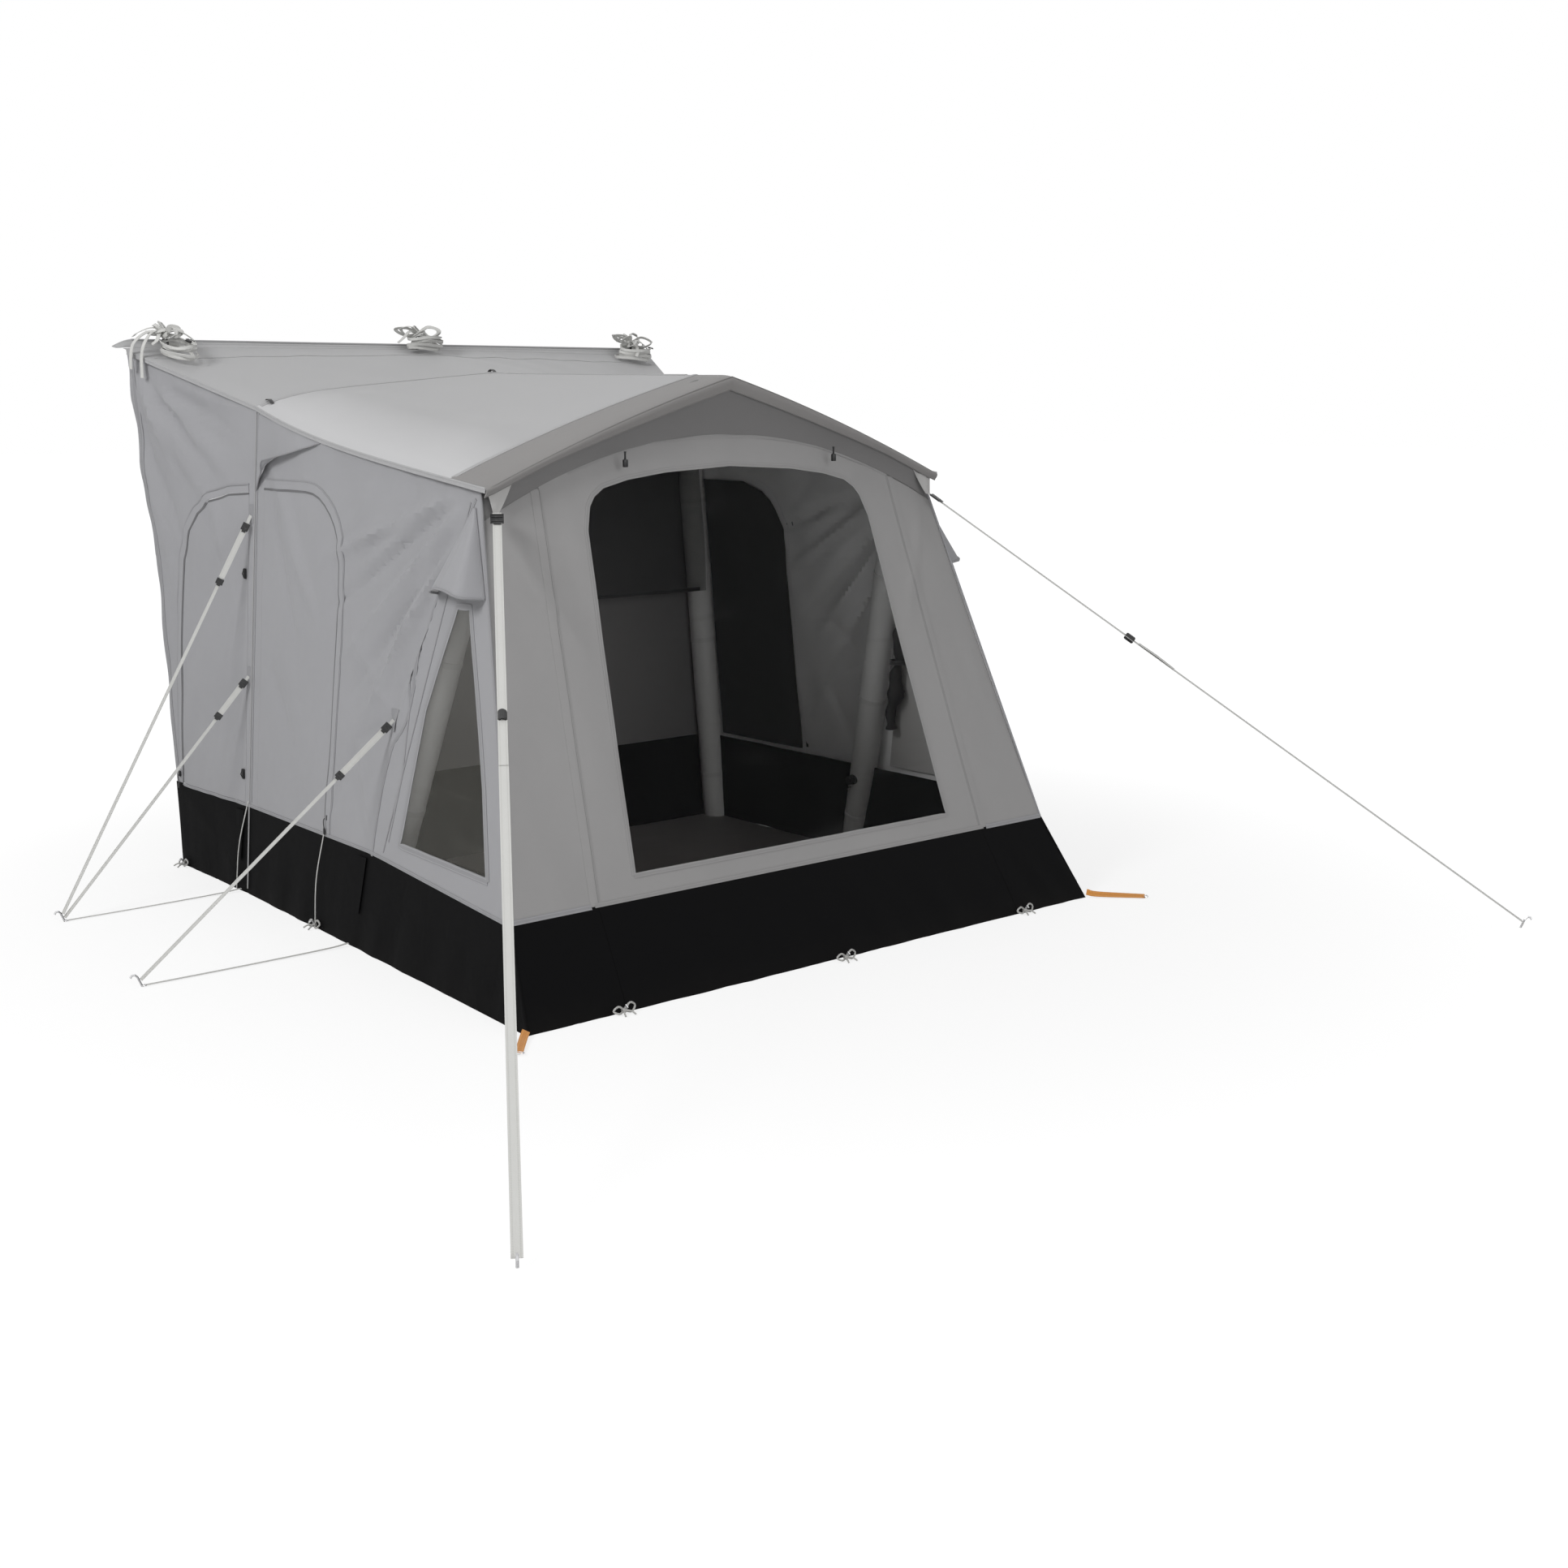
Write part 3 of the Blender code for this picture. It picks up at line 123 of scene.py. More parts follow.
def side_x(y, z):
    """Half width of the side wall: the cabin's before the seam, the tunnel's behind it."""
    if y > SEAM_Y:
        return mix(seam_x(z), tunnel_x(z), (y - SEAM_Y) / (TUNNEL_Y - SEAM_Y))
    cx, cy = corner_line(z)
    lx, ly = leg_line(z)
    if y < ly:
        return mix(cx, lx, (y - cy) / (ly - cy))
    return mix(lx, seam_x(z), (y - ly) / (SEAM_Y - ly))


def front_y(x, z):
    """Depth of the front wall and, below it, of its skirt."""
    if z < SKIRT_Z:
        return mix(FOOT_Y, SKIRT_Y, z / SKIRT_Z)
    return SKIRT_Y + (FRONT_LEAN + FRONT_BOW * (x / EAVE_X) ** 2) * (z - SKIRT_Z)


def skirt_top(y):
    """Height of the side skirt's upper edge."""
    return mix(SKIRT_Z, SIDE_SKIRT_Z, min(1.0, max(0.0, (y - SKIRT_Y) / SKIRT_RUN)))


def zip_x(z):
    """Half distance between the two front zips."""
    return mix(0.92, 0.80, z / ZIP_CORNER_Z)


def front_profile(u):
    """Height of the roof over the front hoop; u is 0 at the ridge and 1 at the eave."""
    return FRONT_RIDGE_Z - FRONT_FALL * (0.785 * abs(u) + 0.215 * u * u)


def rear_profile(u):
    """Height of the roof over the rear hoop, with the same u."""
    return REAR_RIDGE_Z - REAR_FALL * (0.66 * abs(u) + 0.34 * u ** 8)


def roof_half(y):
    """Half width of the cabin's roof."""
    return mix(LIP_X, SEAM_TOP_X, (y - LIP_Y) / (SEAM_Y - LIP_Y))


def roof_z(x, y):
    """Height of the cabin's roof."""
    t = (y - LIP_Y) / (SEAM_Y - LIP_Y)
    u = x / roof_half(y)
    return mix(front_profile(u), rear_profile(u), 0.72 * t + 0.28 * t ** 4)


def tunnel_half(y):
    """Half width of the tunnel's roof."""
    return mix(SEAM_TOP_X, RAIL_X, (y - SEAM_Y) / (TUNNEL_Y - SEAM_Y))


def tunnel_z(x, y):
    """Height of the tunnel's roof."""
    u = x / tunnel_half(y)
    return mix(rear_profile(u), RAIL_Z - 0.012 * u * u, (y - SEAM_Y) / (TUNNEL_Y - SEAM_Y))


def spread(low, span, count):
    """Evenly spaced values from low to low + span, one more than the count."""
    return [low + span * k / count for k in range(count + 1)]


def step(a, b, v):
    """Smooth step from 0 at a to 1 at b."""
    t = min(1.0, max(0.0, (v - a) / (b - a)))
    return t * t * (3.0 - 2.0 * t)


def crease(p, q, spot, width):
    """One soft fold along the line from p to q, strongest at its middle."""
    d = Vector(q) - Vector(p)
    r = Vector(spot) - Vector(p)
    t = r.dot(d) / d.length_squared
    off = (r - d * t).length
    return max(0.0, 1.0 - abs(2.0 * t - 1.0) ** 2) * math.exp(-(off / width) ** 2) if 0.0 < t < 1.0 else 0.0


def fold_noise(a, b, seed, wide, long):
    """Smooth noise with a scale of its own in each direction."""
    return noise.noise(Vector((a / wide, b / long, seed)))


SIDE_FOLDS = (
    ((1.09, 1.86), (0.55, 1.05), 0.030, 0.006), ((1.08, 1.80), (0.72, 0.95), 0.022, -0.005),
    ((-0.36, 1.60), (0.35, 0.95), 0.030, 0.006), ((-0.30, 1.58), (0.25, 1.20), 0.022, -0.005),
    ((-0.25, 1.62), (0.45, 1.40), 0.028, 0.004), ((0.05, 0.36), (0.30, 0.85), 0.028, 0.004),
    ((-0.02, 0.84), (0.32, 1.10), 0.022, 0.005), ((-0.02, 0.84), (0.28, 0.70), 0.020, -0.004),
    ((0.44, 0.40), (0.18, 0.80), 0.022, -0.004), ((0.42, 1.45), (0.18, 1.66), 0.030, 0.004),
    ((-0.34, 1.63), (0.16, 0.78), 0.034, 0.008), ((-0.30, 1.64), (0.30, 1.32), 0.024, 0.007),
    ((-0.38, 1.55), (0.02, 0.80), 0.026, -0.007), ((-0.10, 1.62), (0.32, 1.36), 0.026, -0.005),
    ((0.92, 1.50), (0.60, 1.15), 0.030, 0.004), ((1.02, 1.00), (0.70, 0.60), 0.034, -0.004))
CORNER_FOLDS = (
    ((-0.46, 1.66), (0.42, 0.98), 0.019, 0.020), ((-0.46, 1.64), (0.26, 0.74), 0.017, 0.019),
    ((-0.44, 1.66), (0.62, 1.34), 0.021, 0.018), ((-0.42, 1.62), (0.06, 0.60), 0.016, 0.014),
    ((-0.44, 1.60), (0.34, 0.86), 0.015, -0.018), ((-0.42, 1.66), (0.52, 1.16), 0.017, -0.018))
TUNNEL_FOLDS = (
    ((1.72, 2.10), (1.22, 1.60), 0.032, 0.010), ((1.72, 2.06), (1.18, 1.78), 0.024, -0.008),
    ((1.73, 1.98), (1.30, 1.45), 0.026, 0.008), ((1.60, 2.02), (1.14, 1.88), 0.020, 0.006),
    ((1.73, 1.85), (1.52, 1.30), 0.022, -0.007), ((1.73, 1.70), (1.60, 1.05), 0.024, 0.006),
    ((1.73, 2.11), (1.42, 1.72), 0.020, -0.008), ((1.70, 2.10), (1.55, 1.60), 0.018, 0.008),
    ((1.735, 2.08), (1.66, 1.62), 0.014, -0.007), ((1.73, 2.02), (1.36, 1.60), 0.018, 0.007),
    ((1.70, 1.95), (1.15, 1.72), 0.024, -0.005), ((1.40, 1.70), (1.22, 1.10), 0.030, 0.005))


def side_wave(y, z):
    """Wrinkles and slack of the side cloth, outwards in metres, none along the seams."""
    if y > SEAM_Y:
        free = step(SEAM_Y, SEAM_Y + 0.12, y)
        wave = sum(h * crease(p, q, (y, z), w) for p, q, w, h in TUNNEL_FOLDS)
        wave = 1.9 * wave + 0.012 * fold_noise(y + 0.45 * z, z, 3.1, 0.11, 0.50)
        wave += 0.012 * step(1.60, 1.74, y) * fold_noise(z, 2.0, 4.7, 0.13, 1.0) * step(0.9, 1.8, z)
        return wave * free
    leg = leg_line(z)[1]
    free = step(0.0, 0.08, abs(y - leg)) * step(0.02, 0.16, SEAM_Y - y) * step(0.0, 0.09, z - skirt_top(y) + 0.01)
    wave = sum(h * crease(p, q, (y, z), w) for p, q, w, h in SIDE_FOLDS)
    wave = 2.1 * wave + 0.0075 * fold_noise(y - 0.3 * z, z, 7.7, 0.12, 0.42)
    wave += sum(h * crease(p, q, (y, z), w) for p, q, w, h in CORNER_FOLDS)
    wave = max(wave, -0.004 if abs(y - leg) < 0.14 else -0.03)
    if y < leg:
        wave = 0.002 * fold_noise(y, z, 1.7, 0.08, 0.3)
        free *= step(0.0, 0.10, y - corner_line(z)[1])
    return wave * free


FRONT_FOLDS = (((-0.72, 0.40), (-0.60, 0.62), 0.018, 0.004), ((0.72, 0.40), (0.60, 0.62), 0.018, 0.004),
               ((0.99, 1.58), (0.72, 1.05), 0.024, 0.005), ((-0.99, 1.58), (-0.72, 1.05), 0.024, 0.005))


def front_wave(x, z):
    """Slack of the front cloth, outwards in metres, none along its edges."""
    edge = step(0.0, 0.10, corner_line(z)[0] - abs(x)) * step(0.0, 0.08, z - 0.30)
    wave = sum(h * crease(p, q, (x, z), w) for p, q, w, h in FRONT_FOLDS)
    wave += 0.0035 * fold_noise(x + 0.2 * z, z, 5.3, 0.09, 0.45)
    return wave * edge


def roof_wave(x, y):
    """Sag of the roof cloth between its seams, and its swell over the shoulders of the front hoop."""
    u = abs(x) / roof_half(y)
    from_band, to_seam = y - BAND_Y, SEAM_Y - y
    free = step(0.0, 0.10, from_band) * step(0.0, 0.12, to_seam) * step(0.0, 0.08, 1.0 - u)
    sag = -0.010 * math.sin(math.pi * min(1.0, max(0.0, from_band / 1.4))) * (1.0 - (2 * u - 1) ** 2)
    shoulder = 0.032 * math.sin(math.pi * step(0.50, 1.0, u)) * step(0.0, 0.25, from_band) * step(0.0, 0.25, to_seam)
    return sag * free + shoulder + 0.0025 * free * fold_noise(x, y + 0.2 * x, 9.1, 0.16, 0.35)


def tunnel_roof_wave(x, y):
    """Slack of the tunnel's roof cloth, upwards in metres."""
    v = (y - SEAM_Y) / (TUNNEL_Y - SEAM_Y)
    u = abs(x) / tunnel_half(y)
    free = step(0.0, 0.2, v) * step(0.0, 0.12, 1.0 - v) * step(0.0, 0.06, 1.0 - u)
    return free * (0.006 * fold_noise(x + 0.35 * y, y, 2.3, 0.12, 0.55) - 0.004)


def lip_depth(x):
    """How far the canopy's lip hangs down, less towards its ends."""
    return LIP_DROP * (1.0 - 0.42 * min(1.0, abs(x) / 0.75) ** 2)


def side_place(sign):
    """Place on one side wall, as a function of y, z and the height over the cloth."""
    return lambda y, z, h: Vector((sign * (side_x(y, z) + OUT + side_wave(y, z) + h), y, z))


def front_place(x, z, h):
    """Place on the front wall, at a height over the cloth."""
    return Vector((x, front_y(x, z) - OUT - front_wave(x, z) - h, z))


def roof_place(x, y, h):
    """Place on the cabin's roof, at a height over the cloth."""
    return Vector((x, y, roof_z(x, y) + OUT + roof_wave(x, y) + h))


def tunnel_place(x, y, h):
    """Place on the tunnel's roof, at a height over the cloth."""
    return Vector((x, y, tunnel_z(x, y) + OUT + tunnel_roof_wave(x, y) + h))


# Makers of meshes
def lattice(rows, cols, at):
    """Grid of points from a function of two shares, each from 0 to 1."""
    return [[at(i / rows, k / cols) for k in range(cols + 1)] for i in range(rows + 1)]


def way_of(path, i):
    """Direction of a path at one of its points."""
    return (path[min(i + 1, len(path) - 1)] - path[max(i - 1, 0)]).normalized()


class Bag:
    """Collects strips, tubes and grids, and turns them into one object."""

    def __init__(self):
        self.points = []
        self.faces = []
        self.runs = []
        self.edges = []

    def rings(self, rings, edges=None):
        """Skin a row of rings with the same number of points, and close both ends."""
        base = len(self.points)
        n = len(rings[0])
        run, last = 0.0, None
        for ring in rings:
            middle = sum(ring, Vector()) / n
            run += (middle - last).length if last is not None else 0.0
            last = middle
            self.points += ring
            self.runs += [run] * n
            self.edges += list(edges or [0.0] * n)
        for i in range(len(rings) - 1):
            for k in range(n):
                a = base + i * n + k
                b = base + i * n + (k + 1) % n
                self.faces.append((a, b, b + n, a + n))
        last = base + (len(rings) - 1) * n
        self.faces.append(tuple(range(base + n - 1, base - 1, -1)))
        self.faces.append(tuple(range(last, last + n)))
        return self

    def tube(self, path, radius, sides=8, taper=None):
        rings = []
        for i, p in enumerate(path):
            along = way_of(path, i)
            side = along.cross(UP)
            side = along.orthogonal() if side.length < 1e-4 else side
            side.normalize()
            rise = side.cross(along)
            wide = radius * (taper[i] if taper else 1.0)
            rings.append([p + side * wide * math.cos(t) + rise * wide * math.sin(t)
                          for t in spread(0.0, 2 * math.pi, sides)[:-1]])
        return self.rings(rings)

    def strap(self, path, width, thick, normals):
        """A flat band along a path; width and normals are one value or a list with one for each point."""
        rings = []
        for i, p in enumerate(path):
            along = way_of(path, i)
            up = normals[i] if isinstance(normals, list) else normals
            side = along.cross(up).normalized()
            rise = side.cross(along)
            a, b = side * (width[i] if isinstance(width, list) else width) / 2, rise * thick / 2
            rings.append([p - a - b, p + a - b, p + a + b, p - a + b])
        return self.rings(rings, edges=(-1.0, 1.0, 1.0, -1.0))

    def ribbon(self, place, line, width, lift=0.0006, thick=0.0012):
        """A flat strip that follows a line of a surface."""
        line = even_line(line, RIBBON_GAP)
        rings = []
        for i, p in enumerate(line):
            along = way_of(line, i)
            across = Vector((-along.y, along.x)) * width / 2
            a, b = p + across, p - across
            rings.append([place(b.x, b.y, lift - thick), place(a.x, a.y, lift - thick),
                          place(a.x, a.y, lift + thick * 0.5), place(p.x, p.y, lift + thick),
                          place(b.x, b.y, lift + thick * 0.5)])
        return self.rings(rings, edges=(-1.0, 1.0, 1.0, 0.0, -1.0))

    def piping(self, place, line, radius, lift=0.0):
        """A cord that follows a line of a surface."""
        return self.tube([place(p.x, p.y, lift) for p in even_line(line, RIBBON_GAP)], radius, 7)

    def box(self, centre, x, y, z, bevel=0.15):
        """A small block with its edges drawn in; x, y and z are half axes."""
        rings = []
        for t, s in ((-1.0, 1.0 - bevel), (-1.0 + bevel, 1.0), (1.0 - bevel, 1.0), (1.0, 1.0 - bevel)):
            rings.append([centre + z * t + x * s * a + y * s * b for a, b in
                          ((-1, -1 + bevel), (-1 + bevel, -1), (1 - bevel, -1), (1, -1 + bevel),
                           (1, 1 - bevel), (1 - bevel, 1), (-1 + bevel, 1), (-1, 1 - bevel))])
        return self.rings(rings)

    def sheet(self, upper, lower):
        """A closed cloth from two grids of points with the same counts."""
        rows, cols = len(upper), len(upper[0])
        base = len(self.points)
        for row in upper + lower:
            self.points += row
            self.runs += [0.0] * cols
            self.edges += [0.0] * cols
        half = rows * cols
        for r in range(rows - 1):
            for c in range(cols - 1):
                a = base + r * cols + c
                self.faces.append((a, a + 1, a + cols + 1, a + cols))
                self.faces.append((a + half, a + half + cols, a + half + cols + 1, a + half + 1))
        ring = list(range(cols)) + [r * cols + cols - 1 for r in range(1, rows)]
        ring += [(rows - 1) * cols + c for c in range(cols - 2, -1, -1)]
        ring += [r * cols for r in range(rows - 2, 0, -1)]
        for i, a in enumerate(ring):
            b = ring[(i + 1) % len(ring)]
            self.faces.append((base + a, base + a + half, base + b + half, base + b))
        return self

    def make(self, name, material, body="cabin", smooth=40.0):
        """One mesh object from all that was collected; the angle in degrees parts smooth from sharp edges."""
        mesh = bpy.data.meshes.new(name)
        mesh.from_pydata([tuple(p) for p in self.points], [], self.faces)
        work = bmesh.new()
        work.from_mesh(mesh)
        bmesh.ops.recalc_face_normals(work, faces=work.faces)
        work.to_mesh(mesh)
        work.free()
        for label, values in (("run", self.runs), ("edge", self.edges)):
            mesh.attributes.new(label, "FLOAT", "POINT").data.foreach_set("value", values)
        return settle(name, mesh, material, body, smooth)


def settle(name, mesh, material, body="cabin", smooth=40.0):
    """Turn a mesh into a piece: its shading, material, name and body."""
    mesh.shade_smooth()
    mesh.set_sharp_from_angle(angle=math.radians(smooth))
    mesh.materials.clear()
    mesh.materials.append(material)
    piece = bpy.data.objects.new(name, mesh)
    bpy.context.scene.collection.objects.link(piece)
    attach(piece, body)
    return piece


def even_line(line, gap):
    """The same line with points about one gap apart."""
    points = [Vector(p) for p in line]
    out = [points[0]]
    for a, b in zip(points, points[1:]):
        count = max(1, round((b - a).length / gap))
        out += [a.lerp(b, (k + 1) / count) for k in range(count)]
    return out


def curved(points, count=8):
    """A smooth line through the given points."""
    pts = [Vector(p) for p in points]
    pts = [pts[0] * 2 - pts[1]] + pts + [pts[-1] * 2 - pts[-2]]
    out = []
    for i in range(1, len(pts) - 2):
        a, b, c, d = pts[i - 1:i + 3]
        for k in range(count):
            t = k / count
            out.append(0.5 * ((2 * b) + (c - a) * t + (2 * a - 5 * b + 4 * c - d) * t * t
                              + (3 * b - a - 3 * c + d) * t ** 3))
    return out + [pts[-2]]


def path_length(path):
    """Length of a line of points."""
    return sum((b - a).length for a, b in zip(path, path[1:]))


def cloth_area(piece):
    """Area of a closed cloth, counted once."""
    return sum(f.area for f in piece.data.polygons) / 2.0


def declare_cloth(piece, axes, rests=("front_air_hoop",)):
    """Measure a cloth's area and the flat size of its cut over its own surface; the results are not kept."""
    area = cloth_area(piece)
    spans = []
    for axis in axes:
        values = [v.co[axis] for v in piece.data.vertices]
        spans.append(max(values) - min(values))
    grow = max(1.01, area / (spans[0] * spans[1]) * 1.002)
    flat = (spans[0] * math.sqrt(grow), spans[1] * math.sqrt(grow))
    area = min(area, flat[0] * flat[1])
    if area < 0.31 * flat[0] * flat[1]:     # a frame round an opening: its cloth laid side by side
        flat = (area / 0.5 / flat[1], flat[1])
    list(rests)


# Values and colours that a user may change
def tone(*parts):
    """Linear colour from three 0 to 255 display values."""
    return tuple(((p / 255 + 0.055) / 1.055) ** 2.4 if p > 10 else p / 255 / 12.92 for p in parts)


def colour(name, words, *parts):
    """Colour property from three 0 to 255 display values."""
    return FloatVectorProperty(name=name, description=words, subtype="COLOR", size=3, min=0.0, max=1.0,
                               default=tone(*parts))


def length(name, words, value):
    """Length property in metres."""
    return FloatProperty(name=name, description=words, default=value, unit="LENGTH", precision=4)


class AwningSizes(bpy.types.PropertyGroup):
    """Sizes of cloth, webbing and seams"""
    cloth_grid: length("Cloth grid", "Spacing of the cloth's vertices", 0.022)
    cloth: length("Cloth", "Thickness of the coated cloth with its hems", 0.0018)
    film: length("Film", "Thickness of the window film", 0.0008)
    webbing: length("Webbing", "Width of the storm straps", 0.029)
    strap: length("Narrow webbing", "Width of the side guy webbing", 0.012)
    seam: length("Seam", "Width of a felled seam", 0.012)
    piping: length("Piping", "Radius of the corded piping", 0.0042)
    thread: length("Thread pitch", "Distance between two threads of the weave", 0.0013)


class AwningColours(bpy.types.PropertyGroup):
    """Colours of the cloths and fittings"""
    roof: colour("Roof", "Coated roof cloth", 172, 172, 173)
    canopy: colour("Canopy", "Hooped front band of the roof", 132, 130, 129)
    wall: colour("Walls", "Side cloth", 153, 153, 156)
    front: colour("Front", "Front cloth and its panel", 148, 147, 147)
    # Painted shade: the gable colour stands for the canopy's shadow on the front above the arch seam.
    gable: colour("Gable", "Darker cloth above the arch seam", 112, 111, 111)
    skirt: colour("Skirt", "Mud skirt", 8, 8, 9)
    webbing: colour("Webbing", "Storm straps and hanks", 205, 205, 202)
    orange: colour("Marker webbing", "Bright corner straps", 208, 134, 44)
    # The film's grey is the colour of its painted sheen.
    film: colour("Film", "Window film", 64, 64, 64)
    mesh: colour("Mesh", "Insect mesh of the curtain", 26, 26, 27)
    inner: colour("Inner wall", "Cloth of the inner rear wall", 112, 111, 111)
    sheet: colour("Groundsheet", "Coated groundsheet", 66, 58, 50)
    tube: colour("Air sleeve", "Sleeve round the air tubes", 208, 208, 207)
    black: colour("Plastic", "Moulded fittings", 22, 22, 23)


# Shader helpers and shared node groups
def feed(tree, node, inputs):
    """Link or set the inputs of a node, each from a socket or a plain value."""
    for key, value in inputs.items():
        if isinstance(value, bpy.types.NodeSocket):
            tree.links.new(value, node.inputs[key])
        else:
            node.inputs[key].default_value = value


def wire(tree, kind, inputs=None, **settings):
    """A new node of the given kind with its settings and inputs."""
    made = tree.nodes.new(kind)
    for key, value in settings.items():
        setattr(made, key, value)
    feed(tree, made, inputs or {})
    return made


def maths(tree, operation, a, b=0.0, c=0.0):
    """Result of one calculation node."""
    return wire(tree, "ShaderNodeMath", {0: a, 1: b, 2: c}, operation=operation).outputs[0]


def new_group(name, inputs, outputs):
    """An empty shader group, with the nodes of its inputs and outputs."""
    tree = bpy.data.node_groups.new(name, "ShaderNodeTree")
    for label, kind, value in inputs:
        socket = tree.interface.new_socket(label, in_out="INPUT", socket_type=kind)
        socket.default_value = value
    for label, kind in outputs:
        tree.interface.new_socket(label, in_out="OUTPUT", socket_type=kind)
    return tree, tree.nodes.new("NodeGroupInput"), tree.nodes.new("NodeGroupOutput")


FLOAT, VECTOR = "NodeSocketFloat", "NodeSocketVector"
DUST = (0.30, 0.26, 0.21)


def spot_of(tree):
    """Place of the shaded point in its object."""
    return wire(tree, "ShaderNodeTexCoord").outputs["Object"]


def spot_axes(tree):
    """The same place as three single values, X, Y and Z."""
    return wire(tree, "ShaderNodeSeparateXYZ", {0: spot_of(tree)}).outputs


def woven_group():
    """Over and under of two thread directions, as a height and a darker mask between the threads."""
    tree, given, out = new_group("Woven threads", (("Across", VECTOR, (1, 0, 0)), ("Along", VECTOR, (0, 0, 1)),
                                 ("Pitch", FLOAT, 0.0013)), (("Height", FLOAT), ("Gap", FLOAT)))
    place = spot_of(tree)
    waves = []
    for label in ("Across", "Along"):
        dot = wire(tree, "ShaderNodeVectorMath", {0: place, 1: given.outputs[label]}, operation="DOT_PRODUCT")
        turns = maths(tree, "DIVIDE", dot.outputs["Value"], given.outputs["Pitch"])
        waves.append(maths(tree, "SINE", maths(tree, "MULTIPLY", turns, math.pi)))
    over = maths(tree, "ABSOLUTE", maths(tree, "MULTIPLY", *waves))
    feed(tree, out, {"Height": over, "Gap": maths(tree, "LESS_THAN", over, 0.12)})
    return tree


def weather_group():
    """Uneven shade of coated cloth and dust that fades out above the ground."""
    tree, given, out = new_group("Weathering", (("Unevenness", FLOAT, 0.1), ("Dust Height", FLOAT, 0.3),
                                 ("Dust Amount", FLOAT, 0.4)), (("Shade", FLOAT), ("Dust", FLOAT)))
    place = spot_of(tree)
    wide = wire(tree, "ShaderNodeTexNoise", {"Vector": place, "Scale": 2.2, "Detail": 4.0, "Roughness": 0.6})
    fine = wire(tree, "ShaderNodeTexNoise", {"Vector": place, "Scale": 38.0, "Detail": 3.0, "Roughness": 0.6})
    both = maths(tree, "ADD", maths(tree, "MULTIPLY", fine.outputs["Fac"], 0.35), wide.outputs["Fac"])
    share = maths(tree, "MULTIPLY", maths(tree, "SUBTRACT", both, 0.675), given.outputs["Unevenness"])
    height = wire(tree, "ShaderNodeSeparateXYZ", {0: place}).outputs["Z"]
    low = maths(tree, "SUBTRACT", 1.0, maths(tree, "DIVIDE", height, given.outputs["Dust Height"]))
    patch = maths(tree, "MULTIPLY", fine.outputs["Fac"], wide.outputs["Fac"])
    dust = maths(tree, "MULTIPLY", maths(tree, "POWER", maths(tree, "MAXIMUM", low, 0.0), 1.6), patch)
    feed(tree, out, {"Shade": maths(tree, "ADD", share, 1.0),
                     "Dust": maths(tree, "MULTIPLY", dust, given.outputs["Dust Amount"])})
    return tree


def crinkle_group():
    """Small creases of folded cloth, as a height in metres."""
    tree, given, out = new_group("Crinkles", (("Depth", FLOAT, 0.001), ("Scale", FLOAT, 7.0)),
                                 (("Height", FLOAT),))
    at = {"Vector": spot_of(tree), "Scale": given.outputs["Scale"]}
    bent = wire(tree, "ShaderNodeTexNoise", {**at, "Detail": 2.0, "Distortion": 1.2})
    sharp = wire(tree, "ShaderNodeTexVoronoi", at, feature="SMOOTH_F1")
    both = maths(tree, "ADD", maths(tree, "MULTIPLY", sharp.outputs["Distance"], 0.35), bent.outputs["Fac"])
    feed(tree, out, {"Height": maths(tree, "MULTIPLY", both, given.outputs["Depth"])})
    return tree


def stitch_group():
    """Two rows of stitches along a strip, from its own run and edge values."""
    tree, given, out = new_group("Stitch rows", (("Pitch", FLOAT, 0.006), ("Place", FLOAT, 0.6)),
                                 (("Mask", FLOAT),))
    run = wire(tree, "ShaderNodeAttribute", attribute_name="run").outputs["Fac"]
    edge = wire(tree, "ShaderNodeAttribute", attribute_name="edge").outputs["Fac"]
    part = maths(tree, "FRACT", maths(tree, "DIVIDE", run, given.outputs["Pitch"]))
    dash = maths(tree, "LESS_THAN", part, 0.62)
    off = maths(tree, "ABSOLUTE", maths(tree, "SUBTRACT", maths(tree, "ABSOLUTE", edge), given.outputs["Place"]))
    feed(tree, out, {"Mask": maths(tree, "MULTIPLY", dash, maths(tree, "LESS_THAN", off, 0.09))})
    return tree


def grain_group():
    """Fine moulded or drawn grain: a height, and a mask of scuffed places."""
    tree, given, out = new_group("Moulded grain", (("Scale", FLOAT, 900.0), ("Stretch", VECTOR, (1, 1, 1))),
                                 (("Height", FLOAT), ("Scuff", FLOAT)))
    place = spot_of(tree)
    drawn = wire(tree, "ShaderNodeVectorMath", {0: place, 1: given.outputs["Stretch"]}, operation="MULTIPLY")
    fine = wire(tree, "ShaderNodeTexNoise", {"Vector": drawn.outputs[0], "Scale": given.outputs["Scale"]})
    wide = wire(tree, "ShaderNodeTexNoise", {"Vector": place, "Scale": 60.0, "Detail": 4.0})
    feed(tree, out, {"Height": maths(tree, "MULTIPLY", fine.outputs["Fac"], 0.0002),
                     "Scuff": maths(tree, "GREATER_THAN", wide.outputs["Fac"], 0.62)})
    return tree


GROUP_MAKERS = {"Woven threads": woven_group, "Weathering": weather_group, "Crinkles": crinkle_group,
                "Stitch rows": stitch_group, "Moulded grain": grain_group}


def placed(tree, name, inputs):
    """A node that uses one of the shared groups."""
    shared = bpy.data.node_groups.get(name) or GROUP_MAKERS[name]()
    return wire(tree, "ShaderNodeGroup", inputs, node_tree=shared)


def fresh(name):
    """A new material, with its node tree and its shader."""
    stuff = bpy.data.materials.new(name)
    stuff.use_nodes = True
    return stuff, stuff.node_tree, stuff.node_tree.nodes["Principled BSDF"]


def blend(tree, share, a, b, **settings):
    """Mix of two colours, each a socket or three values."""
    a, b = (v if isinstance(v, bpy.types.NodeSocket) else (*v, 1.0) for v in (a, b))
    return wire(tree, "ShaderNodeMix", {"Factor": share, 6: a, 7: b}, data_type="RGBA", **settings).outputs[2]


